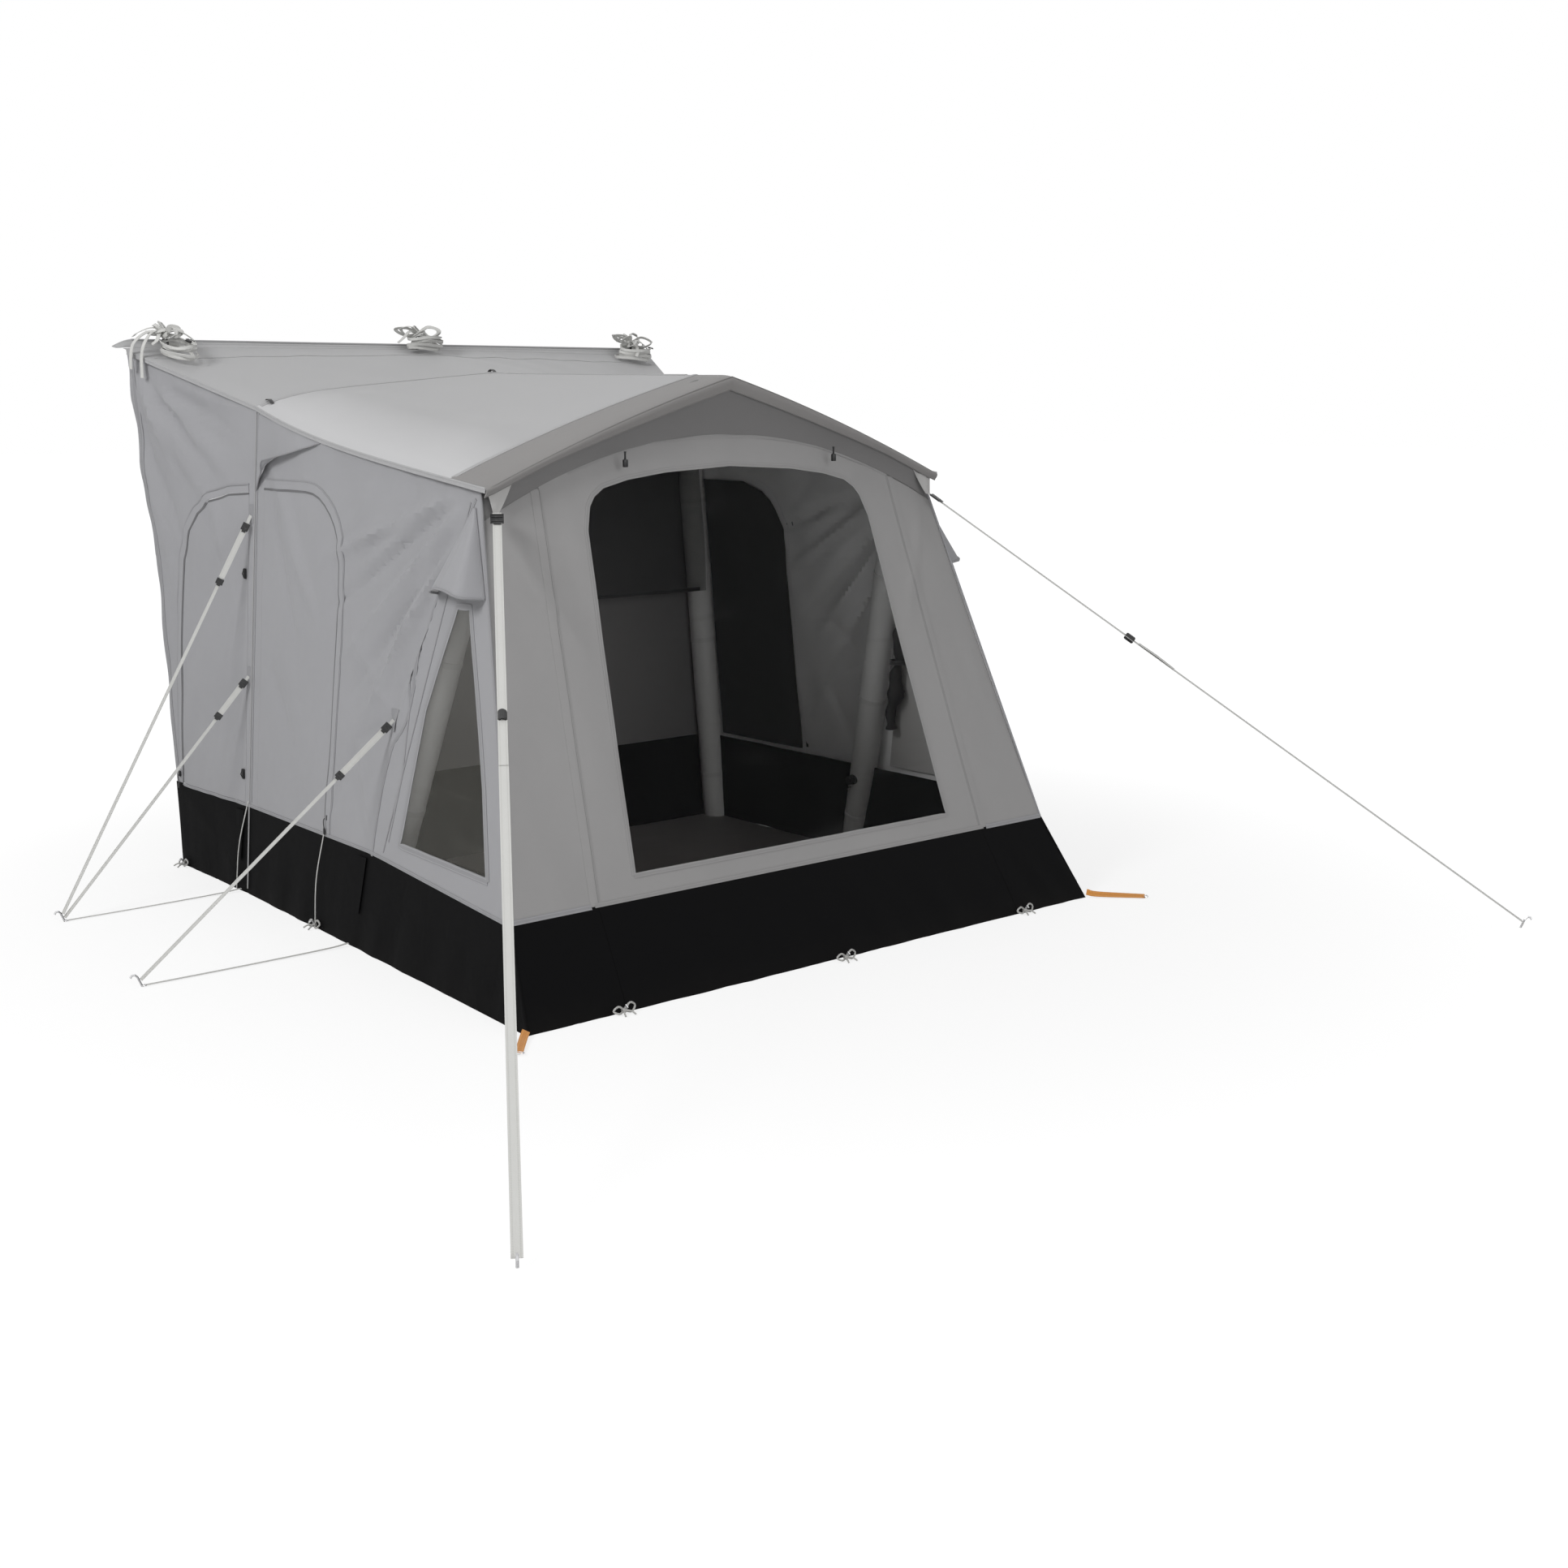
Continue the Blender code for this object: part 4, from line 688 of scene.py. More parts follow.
def set_bump(tree, shader, height, strength):
    """Raise the shaded surface by a height in metres."""
    bump = wire(tree, "ShaderNodeBump", {"Height": height, "Distance": 1.0, "Strength": strength})
    tree.links.new(bump.outputs[0], shader.inputs["Normal"])


def shaded(tree, base, shade, dust=None):
    """A colour times an uneven shade, with dust over it."""
    grey = wire(tree, "ShaderNodeCombineColor", {0: shade, 1: shade, 2: shade}).outputs[0]
    made = blend(tree, 1.0, base, grey, blend_type="MULTIPLY")
    return made if dust is None else blend(tree, dust, made, DUST)


def cloth_finish(name, base, across=(0, 1, 0), along=(0, 0, 1), rough=0.72, crinkle=0.0012, uneven=0.10,
                 dust=0.0, sheen=0.15, pitch=None, scale=7.0, gable=None, gloss=0.35, soil=0.22, painted_inner_light=None,
                 painted_eave_highlight=None):
    """Coated woven cloth: weave, crinkles, uneven shade and dust near the ground.

    The gable shade colour is painted shade: the darker colour above the arch seam, in the canopy's shadow. The inner
    light colour is painted light on the faces that look to the middle of the cabin, and the eave highlight gain is a
    painted highlight that makes the roof lighter towards its eaves.
    """
    stuff, tree, shader = fresh(name)
    sizes = bpy.context.scene.awning_sizes
    weave = placed(tree, "Woven threads", {"Across": across, "Along": along, "Pitch": pitch or sizes.thread})
    weather = placed(tree, "Weathering", {"Unevenness": uneven, "Dust Height": max(dust, 0.01), "Dust Amount": soil})
    folds = placed(tree, "Crinkles", {"Depth": crinkle, "Scale": scale})
    shade = maths(tree, "SUBTRACT", weather.outputs["Shade"], maths(tree, "MULTIPLY", weave.outputs["Gap"], 0.07))
    # Painted highlight: the roof is made lighter towards its eaves, where light catches the curved shoulder.
    if painted_eave_highlight:
        out = maths(tree, "ABSOLUTE", spot_axes(tree)["X"])
        gain = wire(tree, "ShaderNodeMapRange", {"Value": out, "From Min": 0.74, "From Max": 0.99, "To Min": 1.0,
                                                 "To Max": painted_eave_highlight}).outputs[0]
        shade = maths(tree, "MULTIPLY", shade, gain)
    # Painted light: faces that look to the middle of the cabin get a lighter colour, to lift the shade inside.
    if painted_inner_light:
        normal = wire(tree, "ShaderNodeTexCoord").outputs["Normal"]
        facing = wire(tree, "ShaderNodeSeparateXYZ", {0: normal}).outputs["X"]
        inner = maths(tree, "LESS_THAN", maths(tree, "MULTIPLY", facing, spot_axes(tree)["X"]), -0.2)
        base = blend(tree, inner, base, painted_inner_light)
    # Painted shade: above the arch seam the colour turns darker, for the shadow under the canopy.
    if gable:
        spot = spot_axes(tree)
        bow = maths(tree, "MULTIPLY_ADD", maths(tree, "MULTIPLY", spot["X"], spot["X"]), ARCH_FALL, spot["Z"])
        base = blend(tree, maths(tree, "GREATER_THAN", bow, ARCH_TOP_Z), base, gable)
    height = maths(tree, "MULTIPLY_ADD", weave.outputs["Height"], 0.00012, folds.outputs["Height"])
    set_bump(tree, shader, height, 0.9)
    feed(tree, shader, {"Base Color": shaded(tree, base, shade, weather.outputs["Dust"] if dust else None),
                        "Roughness": maths(tree, "MULTIPLY_ADD", weather.outputs["Shade"], 0.25, rough - 0.25),
                        "Sheen Weight": sheen, "Specular IOR Level": gloss})
    return stuff


def tape_finish(name, base, thread, rough=0.65, pitch=0.0011):
    """Webbing or seam tape with two rows of stitches."""
    stuff, tree, shader = fresh(name)
    weave = placed(tree, "Woven threads", {"Across": (0.7, 0.7, 0.2), "Along": (-0.3, 0.3, 0.9), "Pitch": pitch})
    weather = placed(tree, "Weathering", {"Unevenness": 0.10, "Dust Height": 0.10})
    mask = placed(tree, "Stitch rows", {"Pitch": 0.0065, "Place": 0.62}).outputs["Mask"]
    shade = maths(tree, "SUBTRACT", weather.outputs["Shade"], maths(tree, "MULTIPLY", weave.outputs["Gap"], 0.18))
    tint = blend(tree, mask, shaded(tree, base, shade, weather.outputs["Dust"]), thread)
    lift = maths(tree, "MULTIPLY", mask, 0.0005)
    set_bump(tree, shader, maths(tree, "MULTIPLY_ADD", weave.outputs["Height"], 0.0002, lift), 0.8)
    feed(tree, shader, {"Base Color": tint, "Roughness": rough, "Sheen Weight": 0.2})
    return stuff


def moulded_finish(name, base, worn, rough=0.45, scuffed=0.15, strength=0.6, grain_at=None, metal=0.0):
    """Moulded plastic or drawn metal: fine grain, with scuffed places in a second colour."""
    stuff, tree, shader = fresh(name)
    grain = placed(tree, "Moulded grain", grain_at or {"Scale": 900.0}).outputs
    set_bump(tree, shader, grain["Height"], strength)
    feed(tree, shader, {"Base Color": blend(tree, grain["Scuff"], base, worn), "Metallic": metal,
                        "Roughness": maths(tree, "MULTIPLY_ADD", grain["Scuff"], scuffed, rough)})
    return stuff


def film_finish(name, base, clear=0.015, grazing_sheen=0.08):
    """Clear flexible film: more of its painted sheen, a grey veil, shows at a shallow angle; it carries painted glint
    streaks and soft ripples.
    """
    stuff, tree, shader = fresh(name)
    folds = placed(tree, "Crinkles", {"Depth": 0.0025, "Scale": 4.0})
    weather = placed(tree, "Weathering", {"Unevenness": 0.25, "Dust Height": 0.5})
    # Painted sheen: the film's grey covers more of it at a shallow angle.
    facing = wire(tree, "ShaderNodeLayerWeight", {"Blend": 0.35}).outputs["Facing"]
    cover = wire(tree, "ShaderNodeMapRange", {"Value": facing, "To Min": clear, "To Max": grazing_sheen}).outputs[0]
    # Painted glints: stretched noise raises the cover in slanting streaks.
    slant = wire(tree, "ShaderNodeMapping", {"Vector": spot_of(tree), "Rotation": (0.0, 0.55, 0.0),
                                             "Scale": (2.2, 3.0, 17.0)})
    glint = wire(tree, "ShaderNodeTexNoise", {"Vector": slant.outputs[0], "Scale": 1.0, "Detail": 3.0})
    painted_glint = wire(tree, "ShaderNodeMapRange", {"Value": glint.outputs["Fac"], "From Min": 0.62, "From Max": 0.80,
                                               "To Max": 0.05}).outputs[0]
    set_bump(tree, shader, folds.outputs["Height"], 0.3)
    feed(tree, shader, {"Base Color": shaded(tree, base, weather.outputs["Shade"]),
                        "Alpha": maths(tree, "ADD", cover, painted_glint), "Roughness": 0.15, "Coat Weight": 0.2,
                        "Coat Roughness": 0.05})
    return stuff


def mesh_finish(name, base, cover=0.24):
    """Sheer knitted mesh: threads over a see-through ground."""
    stuff, tree, shader = fresh(name)
    weave = placed(tree, "Woven threads", {"Across": (1, 0, 0), "Along": (0, 0, 1), "Pitch": 0.0016})
    weather = placed(tree, "Weathering", {"Unevenness": 0.4, "Dust Height": 0.01})
    feed(tree, shader, {"Base Color": shaded(tree, base, weather.outputs["Shade"]), "Roughness": 0.85,
                        "Alpha": maths(tree, "MULTIPLY_ADD", weave.outputs["Gap"], 0.18, cover - 0.06)})
    return stuff


def scaled(values, by):
    """A colour times a factor."""
    return tuple(v * by for v in values)


class Finishes:
    """The awning's materials, each made once when it is first asked for."""
    made = {}

    @classmethod
    def get(cls, name):
        if name not in cls.made:
            c = bpy.context.scene.awning_colours
            side, front, top = ((0, 1, 0), (0, 0, 1)), ((1, 0, 0), (0, 0, 1)), ((1, 0, 0), (0, 1, 0))
            pale = tuple(mix(a, b, 0.45) for a, b in zip(c.roof, (0.75, 0.75, 0.75)))
            roof = dict(rough=0.62, crinkle=0.0010, uneven=0.07)
            sleeve_look = dict(rough=0.55, crinkle=0.0018, scale=16.0)
            maker, parts, extra = {
                "roof_cloth": (cloth_finish, (c.roof, *top), roof),
                # Cabin roof: painted highlight towards its eaves.
                "cabin_roof_cloth": (cloth_finish, (c.roof, *top), dict(roof, painted_eave_highlight=1.30)),
                "canopy_cloth": (cloth_finish, (c.canopy, *top), dict(rough=0.7, crinkle=0.0008)),
                # Walls: painted light on the faces inside the cabin.
                "wall_cloth": (cloth_finish, (c.wall, *side), dict(dust=0.55, painted_inner_light=tone(228, 228, 228))),
                "front_cloth": (cloth_finish, (c.front, *front), dict(dust=0.5)),
                # Front wall: painted shade above the arch seam.
                "gable_cloth": (cloth_finish, (c.front, *front), dict(dust=0.5, gable=tuple(c.gable))),
                "skirt_cloth": (cloth_finish, (c.skirt, *side), dict(rough=0.62, crinkle=0.0018, uneven=0.3,
                                                                     dust=0.10, sheen=0.0, gloss=0.05, soil=0.02)),
                "inner_cloth": (cloth_finish, (c.inner, *front), dict(rough=0.85, crinkle=0.0022, uneven=0.2,
                                                                      sheen=0.0, gloss=0.15)),
                "floor_cloth": (cloth_finish, (c.sheet, *top), dict(rough=0.55, crinkle=0.003, uneven=0.25,
                                                                    pitch=0.003, scale=4.0)),
                # Soffit: the gable's painted shade colour.
                "soffit_cloth": (cloth_finish, (c.gable, *front), dict(crinkle=0.0008)),
                "sleeve_cloth": (cloth_finish, (c.tube, *side), sleeve_look),
                # Front hoop sleeve: painted shade above the arch seam, under the canopy.
                "front_sleeve_cloth": (cloth_finish, (c.tube, *side), dict(sleeve_look, gable=tone(84, 83, 83))),
                # Corner gusset: lighter than the front cloth, as painted light under the canopy's lip.
                "patch_cloth": (cloth_finish, (tone(176, 175, 174), *front), {}),
                "blind_cloth": (cloth_finish, (tone(176, 175, 174), *side), dict(rough=0.8, crinkle=0.0018)),
                "dark_layer": (cloth_finish, (tone(62, 61, 62), *side), dict(rough=0.85, crinkle=0.0015, sheen=0.0,
                                                                             gloss=0.12)),
                # Films: their grey is painted sheen; the side film's pale tint is haze and painted reflection.
                "window_film": (film_finish, (c.film,), {}),
                "side_film": (film_finish, (tone(150, 148, 140), 0.05, 0.15), {}),
                "mesh_cloth": (mesh_finish, (c.mesh,), {}),
                "sleeve_tape": (tape_finish, (scaled(c.tube, 0.94), c.tube), {}),
                "white_webbing": (tape_finish, (c.webbing, tone(190, 190, 186)), {}),
                "orange_webbing": (tape_finish, (c.orange, tone(232, 170, 90)), {}),
                "elastic_cord": (tape_finish, (tone(176, 176, 174), tone(120, 120, 120)), {}),
                "pale_tape": (tape_finish, (pale, tone(170, 170, 172)), {}),
                "eave_tape": (tape_finish, (scaled(c.roof, 0.92), c.roof), {}),
                "gable_tape": (tape_finish, (scaled(c.canopy, 0.72), scaled(c.canopy, 0.9)), {}),
                "wall_tape": (tape_finish, (scaled(c.wall, 0.80), scaled(c.wall, 1.25)), {}),
                "front_tape": (tape_finish, (scaled(c.front, 0.88), scaled(c.front, 1.25)), {}),
                "roof_tape": (tape_finish, (scaled(c.roof, 0.86), tone(200, 200, 202)), {}),
                "black_webbing": (tape_finish, (tone(26, 26, 27), tone(60, 60, 62)), {}),
                "zip_coil": (tape_finish, (tone(92, 92, 94), tone(122, 122, 124), 0.45, 0.0022), {}),
                "black_plastic": (moulded_finish, (c.black, tuple(min(1.0, v * 2.2 + 0.02) for v in c.black)), {}),
                "peg_steel": (moulded_finish, ((0.62, 0.62, 0.63), (0.42, 0.40, 0.38), 0.28, 0.2, 0.4,
                                               {"Scale": 700.0, "Stretch": (1.0, 1.0, 0.08)}, 1.0), {}),
            }[name]
            cls.made[name] = maker(name, *parts, **extra)
        return cls.made[name]


# Cloth that takes the place of a packed panel
def stand_in(piece, node):
    """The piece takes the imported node's place."""
    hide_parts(node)
    return piece


def cut_up(node, axes, grid):
    """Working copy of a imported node's mesh, cut into small faces along the given axes."""
    work = bmesh.new()
    work.from_mesh(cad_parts[node].data)
    bmesh.ops.remove_doubles(work, verts=work.verts, dist=0.00002)
    for axis in axes:
        low = min(v.co[axis] for v in work.verts)
        high = max(v.co[axis] for v in work.verts)
        count = max(2, round((high - low) / grid))
        across = Vector([1.0 if k == axis else 0.0 for k in range(3)])
        for k in range(1, count):
            bmesh.ops.bisect_plane(work, geom=work.verts[:] + work.edges[:] + work.faces[:],
                                   plane_co=across * mix(low, high, k / count), plane_no=across)
    work.normal_update()
    return work


def laid_out(node, work, material, body):
    """The piece that a reshaped working copy gives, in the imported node's place."""
    mesh = bpy.data.meshes.new(node + "_cloth")
    work.to_mesh(mesh)
    work.free()
    for layer in [a.name for a in mesh.attributes if a.name == "custom_normal"]:
        mesh.attributes.remove(mesh.attributes[layer])
    return stand_in(settle(node + "_cloth", mesh, material, body), node)


def cloth_from(node, material, place, axes, facing, body="cabin", thick=None, grid=None,
               rests=("front_air_hoop", "rear_air_hoop")):
    """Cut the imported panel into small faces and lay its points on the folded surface."""
    sizes = bpy.context.scene.awning_sizes
    thick = thick or sizes.cloth
    work = cut_up(node, axes, grid or sizes.cloth_grid)
    face_out = Vector(facing)
    inside = set()
    for face in work.faces:
        if face.normal.dot(face_out) < -0.5:
            inside.update(v.index for v in face.verts)
    for v in work.verts:
        v.co = place(v.co[axes[0]], v.co[axes[1]], -thick if v.index in inside else 0.0)
    piece = laid_out(node, work, material, body)
    declare_cloth(piece, axes, rests)


def thickened(bag, grid, back):
    """Add a cloth whose second face is the grid moved by a vector."""
    return bag.sheet(grid, [[p + back for p in row] for row in grid])


def shell(grid, thick):
    """A second grid of points, the given thickness away from the first."""
    low = []
    for r, row in enumerate(grid):
        line = []
        for c, p in enumerate(row):
            du = row[min(c + 1, len(row) - 1)] - row[max(c - 1, 0)]
            dv = grid[min(r + 1, len(grid) - 1)][c] - grid[max(r - 1, 0)][c]
            line.append(p + du.cross(dv).normalized() * thick)
        low.append(line)
    return low


def finish_sheet(bag, name, material, node, axes, rests=("rear_air_hoop",)):
    declare_cloth(stand_in(bag.make(name, material), node), axes, rests)


# Camera, and the cords that run out from the awning
GUYS = {  # start, end, share of the line where its keeper sits
    "front": ((-0.9880, -0.5119, 1.5701), (-2.2025, -2.4537, 0.0250), 0.345),
    "upper": ((-1.0847, 1.1182, 1.4908), (-1.9096, 1.1528, 0.0311), 0.17),
    "lower": ((-1.1308, 1.1182, 0.8655), (-1.9042, 1.1528, 0.0157), 0.17),
    "middle": ((-1.1251, -0.0191, 0.8361), (-2.0087, 0.1728, 0.0238), 0.22)}
PEGS = {"front": "front_peg", "upper": "rear_peg", "lower": "rear_peg", "middle": "mid_peg"}


def camera():
    """The view of the photograph."""
    data = bpy.data.cameras.new("photo_camera")
    data.lens = 44.12
    data.sensor_width = 36.0
    made = bpy.data.objects.new("photo_camera", data)
    bpy.context.scene.collection.objects.link(made)
    made.location = (-4.372, -5.945, 1.946)
    made.rotation_euler = (math.radians(90.0 - 11.43), math.radians(0.02), math.radians(-40.35))
    bpy.context.scene.camera = made


def mirrored(p, sign):
    """A point of the left side, moved to the side with the given sign."""
    return Vector((-sign * p[0], p[1], p[2]))


def buckle(bag, centre, along, face, wide, long):
    """Ladder buckle: two rails, three bars and a grip tab."""
    side = along.cross(face).normalized()
    up = side.cross(along).normalized()
    for s in (-1, 1):
        bag.box(centre + side * s * (wide / 2 + 0.002), side * 0.0018, along * long / 2, up * 0.0028)
    for t in (-0.9, 0.0, 0.9):
        bag.box(centre + along * t * long / 2, side * (wide / 2 + 0.0035), along * 0.0018, up * 0.0024)
    bag.box(centre + along * long * 0.62 + up * 0.003, side * wide * 0.36, along * 0.004, up * 0.0012)
    for t in (-0.48, 0.45):
        bag.box(centre + along * t * long / 2 + up * 0.0022, side * (wide / 2 + 0.001), along * long * 0.17,
                up * 0.0016)


def guy_lines():
    """Storm straps and side guys with their keepers, tails and pegs."""
    sizes = bpy.context.scene.awning_sizes
    white, black = Finishes.get("white_webbing"), Finishes.get("black_plastic")
    for sign, side in SIDES:
        for kind, (start, end, keep) in GUYS.items():
            front = kind == "front"
            a, b = mirrored(start, sign), mirrored(end, sign)
            d = (b - a).normalized()
            path = [a.lerp(b, k / 24) for k in range(25)]
            up = Vector((sign * 0.15, -0.25, 1.0)) if front else Vector((sign * 0.35, -1.0, 0.25))
            up = (up - d * up.dot(d)).normalized()
            wide = sizes.webbing if front else sizes.strap
            strap = Bag().strap(path, wide, WEBBING_THICK, up).make(kind + "_strap_" + side, white, "cabin", 30)
            strap.data.shade_smooth()
            stand_in(strap, kind + "_guy_" + side)
            fit = Bag()
            near = (0.012, 0.046, 1.25) if front else (0.030, 0.030, 1.7)
            for share, long, broad in (near,) if front else (near, (keep, 0.022, near[2])):
                buckle(fit, a.lerp(b, share) + up * 0.002, d, up, wide * broad, long)
            tail = [a.lerp(b, keep + t) + up * lift for t, lift in ((0.02, 0.004), (0.05, 0.006), (0.08, 0.003))]
            tail_piece = Bag().strap(tail, wide * 0.96, 0.0014, up).make(kind + "_tail_" + side, white)
            going = [fit.make(kind + "_buckles_" + side, black, "cabin", 30), tail_piece]
            if not front:
                pad = [a.lerp(b, t) + up * 0.0016 for t in (0.035, keep * 0.4, keep * 0.7, keep - 0.01)]
                going.append(Bag().strap(pad, wide * 1.8, 0.0016, up).make(kind + "_webbing_" + side, white))
            if kind != "lower":
                going.append(PEGS[kind] + "_" + side)
            if front:
                going.append("guy_runner_" + side)
            tuple(a)
            [tuple(p) for p in path]


# Roof, canopy and their edges
def roof():
    """Roof cloths, canopy, seams, eaves and the loops over the rear seam."""
    sizes = bpy.context.scene.awning_sizes
    # The cabin roof's material paints a highlight towards its eaves.
    cloth_from("roof_panel", Finishes.get("cabin_roof_cloth"), roof_place, (0, 1), UP, grid=0.045)
    cloth_from("tunnel_roof", Finishes.get("roof_cloth"), tunnel_place, (0, 1), UP, grid=0.045,
               rests=("rear_air_hoop", "keder_strip"))
    rows = []
    shares = spread(-1, 2, 64)
    for u in shares:
        x = u * roof_half(LIP_Y)
        depth = lip_depth(x)
        lip = roof_z(x, LIP_Y) - 0.004
        spots = [Vector((u * roof_half(y), y, roof_z(u * roof_half(y), y))) for y in (BAND_Y - 0.0005, -0.36, -0.42)]
        spots += [Vector((x, -0.470, roof_z(x, -0.470) - 0.0005)),
                  Vector((x, LIP_Y + 0.002, lip + 0.001 - depth * 0.06)),
                  Vector((x, LIP_Y - 0.004, lip - depth * 0.30)), Vector((x, LIP_Y + 0.002, lip - depth * 0.66)),
                  Vector((x, LIP_Y + 0.010, lip - depth))]
        if abs(u) == 1.0:
            spots = [p + Vector((math.copysign(0.008, u), 0, 0)) for p in spots]
        rows.append(curved(spots, 4))
    grid = [list(r) for r in zip(*rows)]
    lower = shell(grid, OUT)
    upper = [[p * 2 - q for p, q in zip(a, b)] for a, b in zip(grid, lower)]
    if upper[0][5].z < grid[0][5].z:
        upper, lower = lower, upper
    lower = [[p.lerp(q, 0.75) for p, q in zip(a, b)] for a, b in zip(upper, lower)]
    finish_sheet(Bag().sheet(upper, lower), "canopy_cloth", Finishes.get("canopy_cloth"), "canopy_sleeve", (0, 1))
    Bag().tube([p + Vector((0, -0.002, 0.0)) for p in grid[-1]], sizes.piping * 0.6).make(
        "canopy_piping", Finishes.get("gable_tape"))
    fold = [Vector((u * roof_half(LIP_Y), LIP_Y - 0.002, roof_z(u * roof_half(LIP_Y), LIP_Y) - 0.004)) for u in shares]
    Bag().tube(fold, sizes.piping * 0.55).make("canopy_fold_piping", Finishes.get("gable_tape"))
    band = Bag()
    band.ribbon(roof_place, [(u * roof_half(BAND_Y) * 0.998, BAND_Y) for u in shares[::2]], 0.022, 0.0014)
    band.ribbon(roof_place, [(u * roof_half(1.09) * 0.995, 1.086) for u in shares[::2]], 0.020, 0.0012)
    band.ribbon(tunnel_place, [(u * 1.22, 1.60 + 0.02 * u * u) for u in shares[::2]], 0.012, 0.0012)
    band.ribbon(roof_place, [(0.0, y / 20) for y in range(-5, 22)], 0.016, 0.0012)
    band.make("roof_seams", Finishes.get("roof_tape"))
    eaves, drip = Bag(), Bag()
    for sign, _ in SIDES:
        line = [Vector((sign * (roof_half(y) + 0.009), y, roof_z(roof_half(y), y) - 0.002))
                for y in spread(LIP_Y, SEAM_Y - LIP_Y, 40)]
        line += [Vector((sign * (tunnel_half(y) + 0.009), y, tunnel_z(tunnel_half(y), y) - 0.002))
                 for y in spread(SEAM_Y, 0.62, 16)[1:]]
        eaves.tube(line, sizes.piping * 0.9)
        drip.strap([p + Vector((sign * 0.001, 0, -0.008)) for p in line], 0.014, 0.0016, Vector((sign, 0, 0.05)))
    eaves.make("eave_piping", Finishes.get("eave_tape"))
    drip.make("eave_bands", Finishes.get("eave_tape"), smooth=30)
    loops = Bag()
    for x in (-1.0, 0.0, 1.0):
        top = [roof_place(x, 1.058 + 0.011 * k, 0.004 + 0.010 * math.sin(math.pi * k / 4)) for k in range(5)]
        loops.strap(top, 0.016, WEBBING_THICK, UP)
    loops.make("roof_loops", Finishes.get("black_webbing"))


def rail_strip():
    """The strip that slides into the vehicle's rail: folded band, bead and stitches."""
    y = TUNNEL_Y + 0.0014
    low, high = RAIL_Z - 0.033, RAIL_Z + 0.022
    xs = spread(-1.26, 2.52, 72)
    band = Bag().strap([Vector((x, y + 0.0026 + 0.0004 * math.sin(9 * x), (low + high) / 2)) for x in xs], high - low,
                       0.0042, FRONTWARD).make("rail_band", Finishes.get("pale_tape"), smooth=30)
    bead = Bag().tube([Vector((x, y + 0.0026, high + 0.0005)) for x in xs], 0.0048, 10)
    bead_piece = bead.make("rail_bead", Finishes.get("roof_tape"))
    tail = curved([(-1.255, y + 0.002, high - 0.012), (-1.29, y - 0.001, high - 0.016),
                   (-1.325, y - 0.004, high - 0.024), (-1.345, y - 0.006, high - 0.026)], 5)
    point = [0.032 * (1.0 - (k / (len(tail) - 1)) ** 1.5) + 0.002 for k in range(len(tail))]
    end_piece = Bag().strap(tail, point, 0.0016, FRONTWARD).make("rail_strip_end", Finishes.get("pale_tape"))
    stand_in(band, "keder_strip")


# Front: wall, roll-up panel, window and skirt
def window_curve():
    """Outline of the front window in x and z."""
    curve = ((0.0, 0.206), (0.025, 0.126), (0.050, 0.092), (0.095, 0.063), (0.20, 0.037), (0.36, 0.016))
    right = [(0.650 - dx, 1.706 - dz) for dx, dz in curve]
    line = [(-0.735, 0.38), (0.735, 0.38)] + right + [(0.0, 1.706)] + [(-x, z) for x, z in reversed(right)]
    return line + [line[0]]


def front():
    """Front wall, its roll-up panel with the window, and their zips and seams."""
    sizes = bpy.context.scene.awning_sizes
    cloth = Finishes.get("front_cloth")
    out = (0, -1, 0.3)
    # The front wall's material paints shade above the arch seam.
    cloth_from("front_wall", Finishes.get("gable_cloth"), front_place, (0, 2), out,
               rests=("front_air_hoop", "canopy_cloth"))
    cloth_from("front_panel", cloth, front_place, (0, 2), out, "front_panel", rests=("front_wall_cloth",))
    # The window film paints its sheen in grey.
    cloth_from("front_window", Finishes.get("window_film"), lambda x, z, h: front_place(x, z, h - FILM_BACK), (0, 2),
               out, "front_panel", thick=sizes.film, rests=("front_panel_cloth",))
    Bag().ribbon(front_place, window_curve(), 0.016, 0.0008).make(
        "front_window_border", Finishes.get("front_tape"), "front_panel")
    seams, coils = Bag(), Bag()
    for sign in (1, -1):
        line = [(sign * (zip_x(z) + 0.014), z) for z in spread(0.31, 1.33, 30)]
        seams.ribbon(front_place, line, 0.030, 0.0010, 0.0008)
        line = [(sign * (zip_x(z) - 0.006), z) for z in spread(0.32, 1.32, 30)]
        coils.ribbon(front_place, line, 0.005, 0.0008, 0.0010)
    seams.ribbon(front_place, [(0.80 * u, 1.648 + 0.157 * (1 - abs(u) ** 2.2)) for u in spread(-1, 2, 32)],
                 0.016, 0.0012)
    seams.make("front_zip_flaps", cloth)
    coils.make("front_zips", Finishes.get("front_tape"), "front_panel")
    arch = ((-1.0, 1.69), (-0.7, 1.753), (-0.5, 1.781), (-0.18, 1.803), (0.0, 1.807), (0.18, 1.803), (0.5, 1.781),
            (0.7, 1.753), (1.0, 1.69))
    Bag().ribbon(front_place, [(0.677 * s, z) for s, z in arch], 0.008, 0.0022).make(
        "front_arch_seam", Finishes.get("front_tape"))
    gable_lining()
    for sign, side in SIDES:
        for name, low, high, finish in (("corner_piping_", 0.306, 1.635, "wall_tape"),
                                        ("skirt_piping_", 0.005, 0.304, "skirt_cloth")):
            line = [Vector((sign * (corner_line(z)[0] + 0.001), corner_line(z)[1] - 0.002, z)) for z in
                    [mix(low, high, k / 40) for k in range(41)]]
            Bag().tube(line, sizes.piping).make(name + side, Finishes.get(finish))


